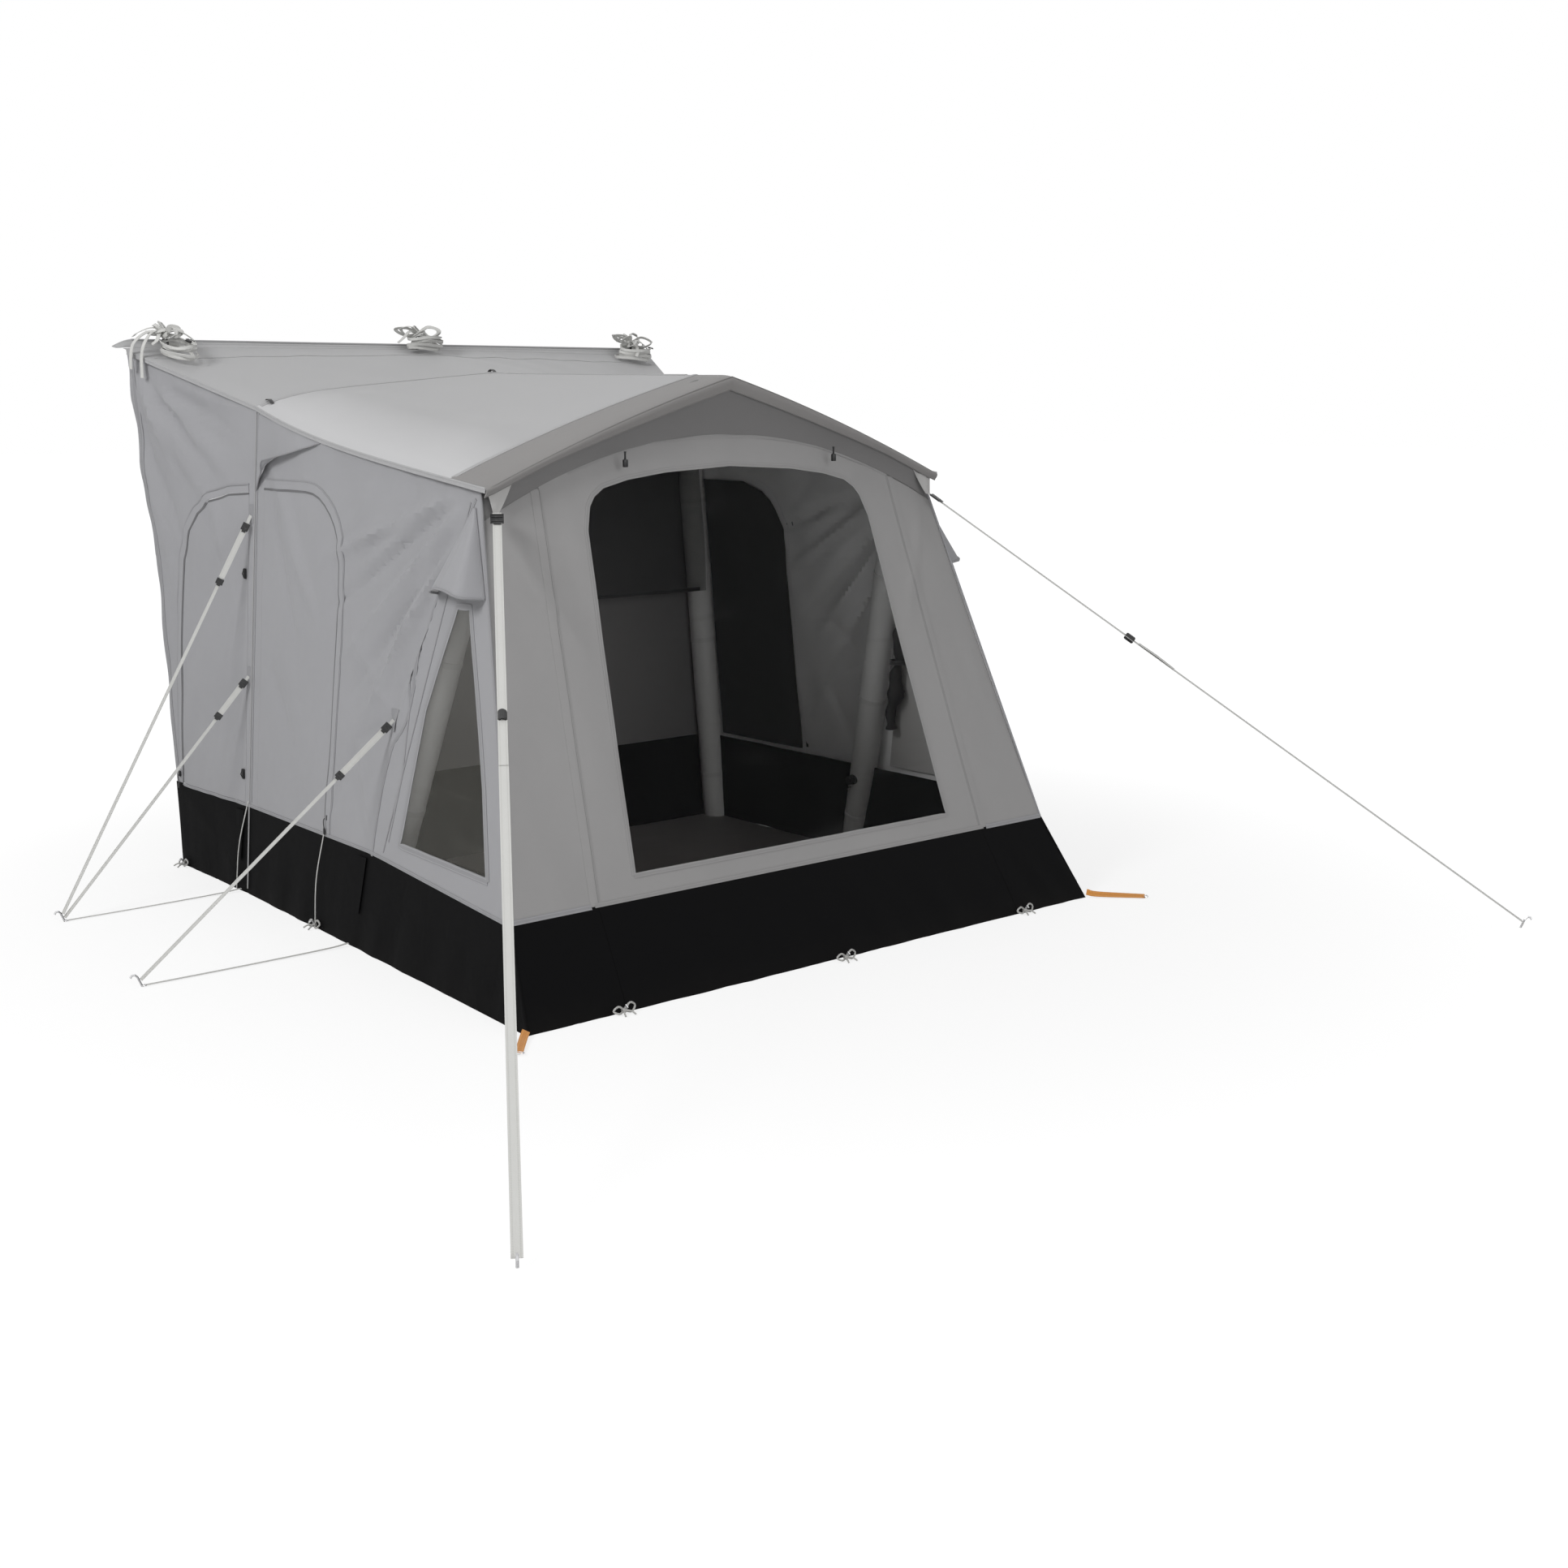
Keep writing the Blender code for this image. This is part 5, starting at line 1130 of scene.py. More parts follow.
def gable_lining():
    """Cloth that runs from the arch seam forward to the canopy's lip and closes the space before the hoop."""
    def at(rise, share):
        x = 0.985 * (-1 + 2 * share)
        low_z = ARCH_TOP_Z - ARCH_FALL * x * x + 0.003
        low = Vector((x, front_y(x, low_z) - OUT - 0.004, low_z))
        top = Vector((x, LIP_Y + 0.013, roof_z(x, LIP_Y) - lip_depth(x) - 0.001))
        spot = low.lerp(top, rise)
        spot.y += 0.006 * math.sin(math.pi * rise) + 0.0015 * fold_noise(x, rise, 6.6, 0.12, 0.6)
        return spot
    made = thickened(Bag(), lattice(8, 64, at), Vector((0, 0.0014, 0)))
    # Its colour is the gable's painted shade.
    made = made.make("gable_lining", Finishes.get("soffit_cloth"))
    declare_cloth(made, (0, 2), ("front_wall_cloth", "canopy_cloth"))


# Sides: walls, doors, windows, rain hoods and gussets
WINDOW_SIDE = ((-0.752, 0.410), (-0.130, 0.415), (-0.172, 0.640), (-0.222, 0.90), (-0.372, 1.258),
               (-0.463, 1.262), (-0.587, 0.927), (-0.672, 0.697))
SLEEVE_SEAM = ((-0.427, 1.612), (-0.215, 1.242), (-0.108, 0.866), (-0.014, 0.723), (0.045, 0.491), (0.065, 0.343))


def arch_line(low, radius, front_y_at, rear_y_at, top):
    """Outline with one rounded upper corner, from its foot to its rear end."""
    turn = [(front_y_at + radius - radius * math.cos(t), top - radius + radius * math.sin(t))
            for t in spread(0.0, math.pi / 2, 8)]
    return [(front_y_at, low)] + turn + [(rear_y_at, top)]


def door_line(grow=0.0):
    """Outline of the side door's zip, moved outwards by grow."""
    return arch_line(DOOR_FOOT_Z, DOOR_BEND + grow, 0.43 - grow, 1.03, 1.60 + grow)


def tunnel_door_line(grow=0.0):
    """Outline of the tunnel door's zip, moved outwards by grow."""
    return [(1.685 + grow, DOOR_FOOT_Z), (1.55 + grow, 1.30), (1.505 + grow, 1.42),
            (1.445 + grow * 0.8, 1.49 + grow * 0.6), (1.35 + grow * 0.4, 1.545 + grow),
            (1.25, 1.572 + grow), (1.135, 1.58 + grow)]


def quad_rows(corners, counts):
    """Grid of points in a flat four-sided patch."""
    a, b, c, d = (Vector(p) for p in corners)
    return lattice(*counts, lambda v, u: a.lerp(d, v).lerp(b.lerp(c, v), u))


def sides():
    """Side walls with doors, windows, seams and zips."""
    sizes = bpy.context.scene.awning_sizes
    # The wall material paints light on the faces inside the cabin, and the side film paints sheen and reflection.
    wall, film = Finishes.get("wall_cloth"), Finishes.get("side_film")
    for sign, side in SIDES:
        place = side_place(sign)
        out = (sign, 0, 0)
        on_wall, on_tunnel = ("side_wall_" + side + "_cloth",), ("tunnel_wall_" + side + "_cloth",)
        cloth_from("side_wall_" + side, wall, place, (1, 2), out)
        cloth_from("side_door_" + side, wall, place, (1, 2), out, "side_door_" + side, rests=on_wall)
        cloth_from("side_window_" + side, film, lambda y, z, h: place(y, z, h - FILM_BACK), (1, 2), out,
                   thick=sizes.film, rests=on_wall)
        cloth_from("tunnel_wall_" + side, wall, place, (1, 2), out, rests=("rear_air_hoop", "keder_strip"))
        cloth_from("tunnel_door_" + side, wall, place, (1, 2), out, "tunnel_door_" + side, rests=on_tunnel)
        seams = Bag()
        for line, width, lift in (
                (WINDOW_SIDE + (WINDOW_SIDE[0],), 0.024, 0.0012),
                (curved(SLEEVE_SEAM, 6), sizes.seam, 0.0012),
                (((-0.121, 1.035), (-0.102, 0.657), (-0.047, 0.413)), sizes.seam * 0.8, 0.0010),
                ([(leg_line(z)[1], z) for z in (0.37, 0.7, 1.05, 1.35, 1.60)], 0.007, 0.0012),
                (door_line(0.032), 0.006, 0.0012),
                ([(1.088, z) for z in (0.37, 0.8, 1.2, 1.6, 1.88)], 0.016, 0.0012),
                (tunnel_door_line(0.030), 0.006, 0.0012),
                ([(1.722, z) for z in (0.37, 0.9, 1.5, 2.08)], 0.020, 0.0012)):
            seams.ribbon(place, line, width, lift)
        seams.make("wall_seams_" + side, Finishes.get("wall_tape"))
        flap = Bag().ribbon(place, door_line(0.014), 0.030, 0.0024)
        flap.ribbon(place, tunnel_door_line(0.012), 0.026, 0.0024).make("storm_flaps_" + side, wall)
        for name, line, body in (("door_zip_", door_line(-0.006), "side_door_"),
                                 ("tunnel_zip_coil_", tunnel_door_line(-0.006), "tunnel_door_")):
            Bag().ribbon(place, line, 0.007, 0.0012).make(name + side, Finishes.get("zip_coil"), body + side)
        seam = [(1.1005, z) for z in (0.02, 0.5, 1.0, 1.5, 1.89)]
        Bag().piping(place, seam, sizes.piping * 0.7, 0.002).make("rear_seam_piping_" + side, Finishes.get("roof_tape"))
        hood(sign, side, place)
        gusset(sign, side, place)


def hood(sign, side, place):
    """Rain hood over the side window, open at its foot."""
    apex, rear, fore = Vector((-0.425, 1.60)), (-0.235, 1.292), (-0.552, 1.297)

    def at(rise, share):
        v, u = mix(0.06, 1.0, rise), -1 + 2 * share
        hem = Vector((mix(fore[0], rear[0], (u + 1) / 2), mix(fore[1], rear[1], (u + 1) / 2) + 0.03 * (1 - u * u)))
        spot = apex.lerp(hem, v)
        sag = 0.004 * math.sin(7.0 * u + 2.0) * v * (1 - u * u)
        lift = 0.002 + 0.12 * v ** 1.2 * (1 - u ** 4) ** 0.5 * (0.72 - 0.28 * u) + sag
        return place(spot.x, spot.y, lift)
    grid = lattice(14, 20, at)
    finish_sheet(thickened(Bag(), grid, Vector((-sign * 0.0022, 0, 0))), "rain_hood_cloth_" + side,
                 Finishes.get("wall_cloth"), "rain_hood_" + side, (1, 2), ("side_wall_" + side + "_cloth",))
    trim = Bag()
    trim.tube([p + Vector((sign * 0.001, 0, -0.001)) for p in grid[-1]], 0.0045)
    for k in (0, -1):
        trim.tube([row[k] + Vector((sign * 0.001, 0, 0)) for row in grid], 0.003, 6)
    trim.make("rain_hood_hem_" + side, Finishes.get("wall_tape"))


def gusset(sign, side, place):
    """The cloth wing under the rear of the eave, and the small one at the canopy's corner."""
    a, b, c, d = (Vector(p) for p in ((1.095, 1.878), (0.60, 1.775), (0.96, 1.705), (1.095, 1.583)))

    def wing(v, u):
        spot = a.lerp(b, u).lerp(d.lerp(c, u), v)
        return place(spot.x, spot.y, 0.0015 + 0.045 * u * v + 0.003 * math.sin(9 * v) * u * (1 - v))

    def corner(v, u):
        x = mix(mix(0.90, 1.012, u), mix(0.978, 0.998, u), v)
        y = mix(LIP_Y + 0.018, LIP_Y + 0.004, v) + 0.003 * math.sin(7.0 * u) * (1 - v)
        return Vector((sign * x, y, mix(roof_z(x, y) - 0.006, 1.568, v)))
    grid = lattice(12, 12, wing)
    finish_sheet(thickened(Bag(), grid, Vector((-sign * 0.0018, 0, 0))), "eave_gusset_cloth_" + side,
                 Finishes.get("wall_cloth"), "eave_gusset_" + side, (1, 2), ("side_wall_" + side + "_cloth",))
    hem = Bag().tube([row[-1] for row in grid], 0.003, 6).tube(grid[-1], 0.003, 6)
    hem.make("eave_gusset_hem_" + side, Finishes.get("wall_tape"))
    # The corner gusset's cloth is lighter than the front cloth: painted light under the canopy's lip.
    finish_sheet(thickened(Bag(), lattice(8, 8, corner), Vector((0, 0.0018, 0))), "corner_gusset_cloth_" + side,
                 Finishes.get("patch_cloth"), "corner_gusset_" + side, (0, 2), ("canopy_cloth",))


# Skirts
def skirt_wave(run, z):
    """Slack of the mud skirt, outwards in metres, most at the ground."""
    free = (1.0 - step(0.02, 0.30, z)) * 0.9 + 0.1
    return free * (0.006 * fold_noise(run, z * 0.4, 4.4, 0.13, 0.5) + 0.002 * fold_noise(run, z, 8.8, 0.045, 0.2))


def skirts():
    """Mud skirts and the seams that hold them."""
    for node, body in (("side_skirt_right", "cabin"), ("side_skirt_left", "cabin"), ("front_skirt", "front_panel")):
        work = cut_up(node, (0, 1, 2), SKIRT_GRID)
        shift = {}
        for v in work.verts:
            face = max(v.link_faces, key=lambda f: abs(f.normal.z) < 0.9 and f.calc_area())
            out = face.normal.copy()
            inner = out.dot(Vector((v.co.x, v.co.y - 0.2, 0.0))) < 0
            if inner:
                out.negate()
            shift[v.index] = out * (skirt_wave(v.co.y + v.co.x * 1.3, v.co.z) + (OUT if inner else 0.0))
        for v in work.verts:
            move = shift[v.index]
            v.co += Vector((move.x, move.y, 0.0))
        piece = laid_out(node, work, Finishes.get("skirt_cloth"), body)
    hem = Bag()
    for sign in (1, -1):
        hem.ribbon(side_place(sign), [(y, skirt_top(y) - 0.005) for y in spread(-0.90, 2.62, 50)], 0.012, 0.0018)
        hem.ribbon(front_place, [(sign * x, 0.31) for x in (0.925, 1.08, 1.232)], 0.016, 0.0018)
    hem.make("skirt_seam", Finishes.get("wall_tape"))
    Bag().ribbon(front_place, [(x, 0.312) for x in (-0.91, 0.0, 0.91)], 0.014, 0.0018).make(
        "front_skirt_seam", Finishes.get("front_tape"), "front_panel")


# Air tubes in their sleeves
def surface_frame(at, a, b):
    """Point of a height field and its normal, from small steps."""
    s = 0.01
    p = at(a, b)
    n = (at(a + s, b) - at(a - s, b)).cross(at(a, b + s) - at(a, b - s)).normalized()
    return p, n


def hoop_line(radius, leg_y, top_z, crown_y, widest):
    """Centre line of an air hoop: legs inside the walls, a bend, and the crown under the roof."""
    reach = 0.003 + radius
    wall = lambda y, z: Vector((side_x(y, z), y, z))
    cover = lambda x, y: Vector((x, y, roof_z(x, y)))

    def inside_of(at, a, b):
        p, n = surface_frame(at, a, b)
        flat = Vector((n.x, 0.0, n.z)).normalized()
        return p - flat * reach / flat.dot(n)
    legs = [inside_of(wall, leg_y(z), z) for z in spread(0.0003, top_z - 0.0003, 8)]
    crown = [inside_of(cover, u * roof_half(crown_y), crown_y) for u in (1.0, 0.92, 0.8, 0.6, 0.4, 0.2)
             if u * roof_half(crown_y) <= widest]
    fall = (roof_z(0.0, crown_y) - roof_z(0.02, crown_y)) / 0.02
    crown.append(Vector((0.0, crown_y, roof_z(0.0, crown_y) - reach * math.sqrt(1.0 + fall * fall))))
    knee = legs[-1] + (legs[-1] - legs[-2]).normalized() * (crown[0].z - legs[-1].z) * 0.85
    bend = [legs[-1] * (1 - t) ** 2 + knee * 2 * t * (1 - t) + crown[0] * t * t for t in (0.2, 0.4, 0.6, 0.8)]
    right = legs + bend + crown
    return right + [Vector((-p.x, p.y, p.z)) for p in reversed(right[:-1])]


def sleeve(path, radius, bends):
    """A woven sleeve round an air tube: small puckers, deeper on the inside of a bend."""
    rings = []
    for i, p in enumerate(path):
        along = way_of(path, i)
        side = along.cross(Vector((0, 1, 0))).normalized()
        rise = side.cross(along)
        sharp = bends(i / (len(path) - 1))
        ring = []
        for t in spread(0.0, 2 * math.pi, 20)[:-1]:
            way = side * math.cos(t) + rise * math.sin(t)
            pucker = 0.0012 * noise.noise(Vector((i * 0.9, math.cos(t) * 1.5, math.sin(t) * 1.5)))
            inner = max(0.0, -way.z * 0.4 - side.x * math.cos(t) * 0.2 + 0.4)
            pucker -= sharp * 0.0035 * (1.0 + math.sin(i * 2.6)) * inner
            spot = p + way * (radius + pucker - 0.0003)
            ring.append(Vector((spot.x, spot.y, max(spot.z, 0.0046))))
        rings.append(ring)
    return Bag().rings(rings)


def air_frame():
    """Sleeves of the air hoops and the ridge brace, with their bands."""
    front_line = hoop_line(FRONT_TUBE, lambda z: leg_line(z)[1] + 0.012, 1.42, CROWN_Y, 0.86)
    rear_line = hoop_line(REAR_TUBE, lambda z: REAR_HOOP_Y, 1.70, REAR_HOOP_Y, 0.90)
    brace = [Vector((0.0, y, roof_z(0.0, y) - 0.052)) for y in spread(CROWN_Y + 0.066, 1.31, 24)]
    # The front hoop's sleeve paints shade above the arch seam, under the canopy.
    for name, line, radius, finish in (("front_air_hoop", front_line, FRONT_TUBE, "front_sleeve_cloth"),
                                       ("rear_air_hoop", rear_line, REAR_TUBE, "sleeve_cloth"),
                                       ("ridge_air_brace", brace, BRACE_TUBE, "sleeve_cloth")):
        hooped = "hoop" in name
        smooth = [Vector((p.x, p.y, max(p.z, 0.0048))) for p in (curved(line, 3) if hooped else line)]
        bend = (lambda t: max(0.0, 1 - abs(abs(2 * t - 1) - 0.46) * 8)) if hooped else (lambda t: 0.0)
        piece = stand_in(sleeve(smooth, radius, bend).make(name + "_sleeve", Finishes.get(finish)), name)
        if hooped:
            ring = Bag()
            for i in range(3, len(smooth) - 4, 9):
                if name != "front_air_hoop" or smooth[i].z < 1.55:
                    along = (smooth[i + 1] - smooth[i - 1]).normalized()
                    ring.tube([smooth[i] - along * 0.010, smooth[i] + along * 0.010], radius + 0.0018, 20)
            ring.make(name + "_bands", Finishes.get("sleeve_tape"))


# Inside: inner rear wall with its door, mesh curtain, floor and what hangs there
def valance():
    """The dark cloth that hangs inside along the foot of the side walls and the rear wall."""
    half, rear, fore = 1.146, 1.075, -0.88
    run = even_line([(-half, fore, 0), (-half, rear, 0), (half, rear, 0), (half, fore, 0)], 0.05)
    low, top = [], []
    for i, p in enumerate(run):
        beside = abs(p.x) > 1.14
        inward = Vector((-math.copysign(1.0, p.x) if beside else 0.0, -1.0 if p.y > 1.07 else 0.0, 0.0))
        lean = 0.006 * noise.noise(Vector((i * 0.35, 2.2, 0.0)))
        top.append([Vector((p.x, p.y, z)) + inward * (0.002 + lean + 0.05 * (z if beside else 0.0))
                    for z in (0.006, 0.10, 0.20, 0.30, 0.392)])
        low.append([q - inward * 0.0018 for q in top[-1]])
    piece = Bag().sheet(top, low).make("inner_valance", Finishes.get("skirt_cloth"))
    path_length(run) * 1.01


def inner_layer(sign, side):
    """The dark layer behind a side door, with the door's rounded corner."""
    place = side_place(sign)

    def at(rise, share):
        z = mix(0.40, 1.575, rise)
        cut = DOOR_BEND - math.sqrt(max(0.0, DOOR_BEND ** 2 - max(0.0, z - 1.30) ** 2))
        y = mix(0.445 + cut, 1.0, share)
        return place(y, z, -0.010 - 0.002 * fold_noise(y, z, 1.2, 0.1, 0.3))
    dark = thickened(Bag(), lattice(30, 12, at), Vector((-sign * 0.0012, 0, 0)))
    dark = dark.make("door_inner_layer_" + side, Finishes.get("dark_layer"), "side_door_" + side)
    declare_cloth(dark, (1, 2), ("side_door_" + side + "_cloth",))


def rolled_blind():
    """A blind that is rolled up and tied beside the front hoop's right leg."""
    line, wide = [], []
    for k in range(25):
        z = 1.02 - 0.44 * k / 24
        leg_x, leg_y = leg_line(z)
        line.append(Vector((leg_x - 0.050, leg_y - 0.105 + 0.008 * math.sin(0.7 * k), z)))
        wide.append(1.0 + 0.30 * math.sin(k * 0.52) + 0.18 * math.sin(k * 1.3))
    Bag().tube(line, 0.026, 12, taper=wide).make("rolled_blind", Finishes.get("dark_layer"))
    turns = spread(0.0, 2 * math.pi, 16)
    tie = [line[8] + Vector((0.040 * math.cos(t), 0.040 * math.sin(t), 0)) for t in turns]
    Bag().strap(tie, 0.018, 0.002, [Vector((math.cos(t), math.sin(t), 0)) for t in turns]).make(
        "blind_tie", Finishes.get("black_webbing"))


def inside():
    """Rear wall and door, mesh curtain, groundsheet, valance and blinds."""
    inner = Finishes.get("inner_cloth")
    back = lambda x, z, h: Vector((x, 1.0915 - 0.004 * abs(fold_noise(x + 0.2 * z, z, 6.1, 0.14, 0.6)) - h, z))
    cloth_from("rear_wall", inner, back, (0, 2), FRONTWARD, grid=0.06, rests=("rear_air_hoop",))
    cloth_from("rear_door", inner, back, (0, 2), FRONTWARD, "rear_door", grid=0.06,
               rests=("rear_wall_cloth",))
    outline = [(-0.49, 0.11), (0.49, 0.11), (0.49, 1.55), (0.43, 1.69), (0.29, 1.742), (-0.29, 1.742), (-0.43, 1.69),
               (-0.49, 1.55), (-0.49, 0.11)]
    behind = lambda x, z, h: Vector((x, 1.0945 + h, z))
    zips = Bag().ribbon(back, outline, 0.009, 0.001).ribbon(behind, outline, 0.009, 0.0006)
    zips.make("rear_door_zip", Finishes.get("zip_coil"), "rear_door")
    drape = lambda x, z, h: Vector((x, 0.9765 - 0.012 * (1.0 - step(1.6, 1.95, z))
                                    * (0.5 + fold_noise(x, z, 2.9, 0.07, 1.5)) - h, z))
    cloth_from("mesh_curtain", Finishes.get("mesh_cloth"), drape, (0, 2), FRONTWARD, thick=0.0012, grid=0.03,
               rests=("rear_air_hoop",))
    hem = Bag().ribbon(drape, [(x / 20, 1.084) for x in range(-20, 21)], 0.018, 0.0010)
    hem.make("curtain_hem", Finishes.get("black_webbing"))
    lay = lambda x, y, h: Vector((x, y, 0.0044 + 0.0012 * fold_noise(x, y, 5.5, 0.2, 0.25) + max(h, -0.0035)))
    cloth_from("groundsheet", Finishes.get("floor_cloth"), lay, (0, 1), UP, grid=0.06, thick=0.0035,
               rests=())
    valance()
    for sign, side in SIDES:
        inner_layer(sign, side)
    rolled_blind()
    rows = quad_rows([(-0.775, 0.40, 0), (-0.115, 0.40, 0), (-0.345, 1.29, 0), (-0.485, 1.29, 0)], (26, 18))
    place = side_place(1)
    grid = [[place(q.x, q.y, -0.012 - 0.003 * (1 + fold_noise(q.x + 0.1 * q.y, q.y, 4.9, 0.06, 0.7))) for q in row]
            for row in rows]
    blind = thickened(Bag(), grid, Vector((-0.0014, 0, 0))).make("window_blind_right", Finishes.get("blind_cloth"))
    declare_cloth(blind, (1, 2), ("side_wall_right_cloth",))


# Straps, hanks and small fittings
def hank_line(x0, y0, half_a, half_b, yaw):
    """Path and normals of four uneven turns of strap that lie on the tunnel roof."""
    slope_x = (tunnel_z(x0 + 0.02, y0) - tunnel_z(x0 - 0.02, y0)) / 0.04
    slope_y = (tunnel_z(x0, y0 + 0.02) - tunnel_z(x0, y0 - 0.02)) / 0.04
    up = Vector((-slope_x, -slope_y, 1.0)).normalized()
    first = Vector((math.cos(yaw), math.sin(yaw), 0.0))
    first = (first - up * first.dot(up)).normalized()
    second = up.cross(first)
    base = Vector((x0, y0, tunnel_z(x0, y0))) + up * 0.009
    path, normals = [], []
    for i in range(81):
        turn = 2 * math.pi * i / 20
        wobble = 1.05 + 0.15 * math.sin(0.7 * turn + 1.6 * math.sin(1.3 * turn + yaw * 9.0))
        way = first * half_a * math.cos(turn) + second * half_b * math.sin(turn)
        path.append(base + way * wobble + up * (0.0145 * i / 20 + 0.006 * (1.0 + math.sin(1.9 * turn + yaw * 5.0))))
        normals.append((way.normalized() + up * 0.5 * math.sin(1.7 * turn)).normalized())
    return path, normals, up


def bow(label, centre, up, path, seed):
    """Loose loops and tails of the strap where the hank is tied, each of its own length and lean."""
    along = (path[12] - path[2]).normalized()
    along = (along - up * along.dot(up)).normalized()
    across = up.cross(along)
    knot = centre + up * 0.034
    parts = Bag()
    for k in range(8):
        turn = 0.83 * k + 0.5 * math.sin(3.1 * k + seed)
        reach = (0.060 + 0.042 * abs(math.sin(1.7 * k + seed))) * (0.75 if label == "left" else 1.0)
        rise = 0.006 + 0.026 * abs(math.cos(2.3 * k + seed))
        way = along * math.cos(turn) + across * math.sin(turn)
        side = up.cross(way)
        wide = 0.012 + 0.010 * abs(math.sin(2.9 * k + seed))
        loop = curved([knot, knot + way * reach * 0.5 + up * rise + side * wide, knot + way * reach + up * rise * 0.6,
                       knot + way * reach * 0.55 - up * 0.010 - side * wide, knot - way * 0.006], 6)
        lean = (side * math.cos(k + seed) + up * 0.9).normalized()
        parts.strap(loop, 0.0145, 0.0024, lean)
    for turn, reach, drop in ((1.2 + seed, 0.115, 0.030), (4.1 + seed, 0.130, 0.034), (5.4 + seed, 0.095, 0.026)):
        way = along * math.cos(turn) + across * math.sin(turn)
        side = up.cross(way)
        tail = curved([knot, knot + way * reach * 0.4 + up * 0.014,
                       knot + way * reach * 0.8 - up * 0.010 + side * 0.010, knot + way * reach - up * drop], 6)
        parts.strap(tail, 0.015, 0.0022, (up + way * 0.3).normalized())
    if label == "left":     # two ends hang over the corner of the rail
        for y0, low, out in ((1.63, 2.015, 0.0), (1.67, 2.05, 0.012)):
            x0 = -tunnel_half(y0) - 0.020 - out
            tail = curved([knot, Vector(((knot.x + x0) / 2, (knot.y + y0) / 2, knot.z + 0.004)),
                           Vector((x0 + 0.014, y0, 2.152)), Vector((x0, y0 + 0.004, 2.10)),
                           Vector((x0, y0 + 0.012, low))], 6)
            parts.strap(tail, 0.017, 0.0024, Vector((-0.8, -0.3, 0.5)).normalized())
    parts.box(knot, along * 0.014, across * 0.012, up * 0.010, 0.4)
    parts.make("strap_bow_" + label, Finishes.get("white_webbing"))


def hanks():
    """Spare straps in tied hanks on the tunnel's roof."""
    for label, x0, y0, half_a, half_b, yaw, seed in (("left", -1.13, 1.60, 0.05, 0.095, 0.15, 0.4),
                                                     ("centre", 0.02, 1.66, 0.075, 0.05, 0.2, 1.9),
                                                     ("right", 1.13, 1.64, 0.085, 0.05, -0.1, 3.1)):
        path, normals, up = hank_line(x0, y0, half_a, half_b, yaw)
        strap = Bag().strap(path, HANK_WIDTH, 0.003, normals).make("strap_bundle_" + label,
                                                                   Finishes.get("white_webbing"))
        stand_in(strap, "strap_hank_" + label)
        fit = Bag()
        buckle(fit, path[-1] + up * 0.002, (path[-1] - path[-2]).normalized(), up, 0.018, 0.030)
        fit.make("strap_buckle_" + label, Finishes.get("black_plastic"))
        centre = sum((path[i] for i in (5, 25, 45, 65)), Vector()) / 4
        ring = [centre + (path[5] - Vector((x0, y0, path[5].z))).normalized() * 0.014 * math.cos(t)
                + up * 0.032 * math.sin(t) for t in spread(0.0, 2 * math.pi, 14)]
        Bag().strap(ring, 0.012, 0.0016, [(p - centre).normalized() for p in ring]).make(
            "strap_tie_" + label, Finishes.get("black_webbing"))
        bow(label, centre, up, path, seed)
        tuple(path[0])
        path_length(path)
        [tuple(p) for p in path]


def ground_webbing(name, points, wide, finish, tilt=0.0):
    """A strap along the ground, lying flat or leaning towards the front by the given angle, less so at its peg."""
    path = curved(points, 6)
    turns = [tilt * (1.0 - 0.6 * k / (len(path) - 1)) for k in range(len(path))]
    path = [p + Vector((0, 0, 0.5 * wide * math.sin(t))) for p, t in zip(path, turns)]
    faces = [Vector((-0.35 * math.sin(t), -0.94 * math.sin(t), math.cos(t))) for t in turns]
    piece = Bag().strap(path, wide, WEBBING_THICK, faces).make(name, finish)
    away = (path[-1] - path[-2]).normalized()
    across = away.cross(UP)
    centre = path[-1] + away * 0.004
    ring = [centre + away * 0.008 * math.cos(t) + across * (wide / 2 + 0.003) * math.sin(t) for t in
            spread(0.0, 2 * math.pi, 16)]
    eye = Bag().tube(ring, 0.0018).make(name + "_eye", Finishes.get("peg_steel"))
    tuple(path[0])
    path_length(path)
    [tuple(p) for p in path]


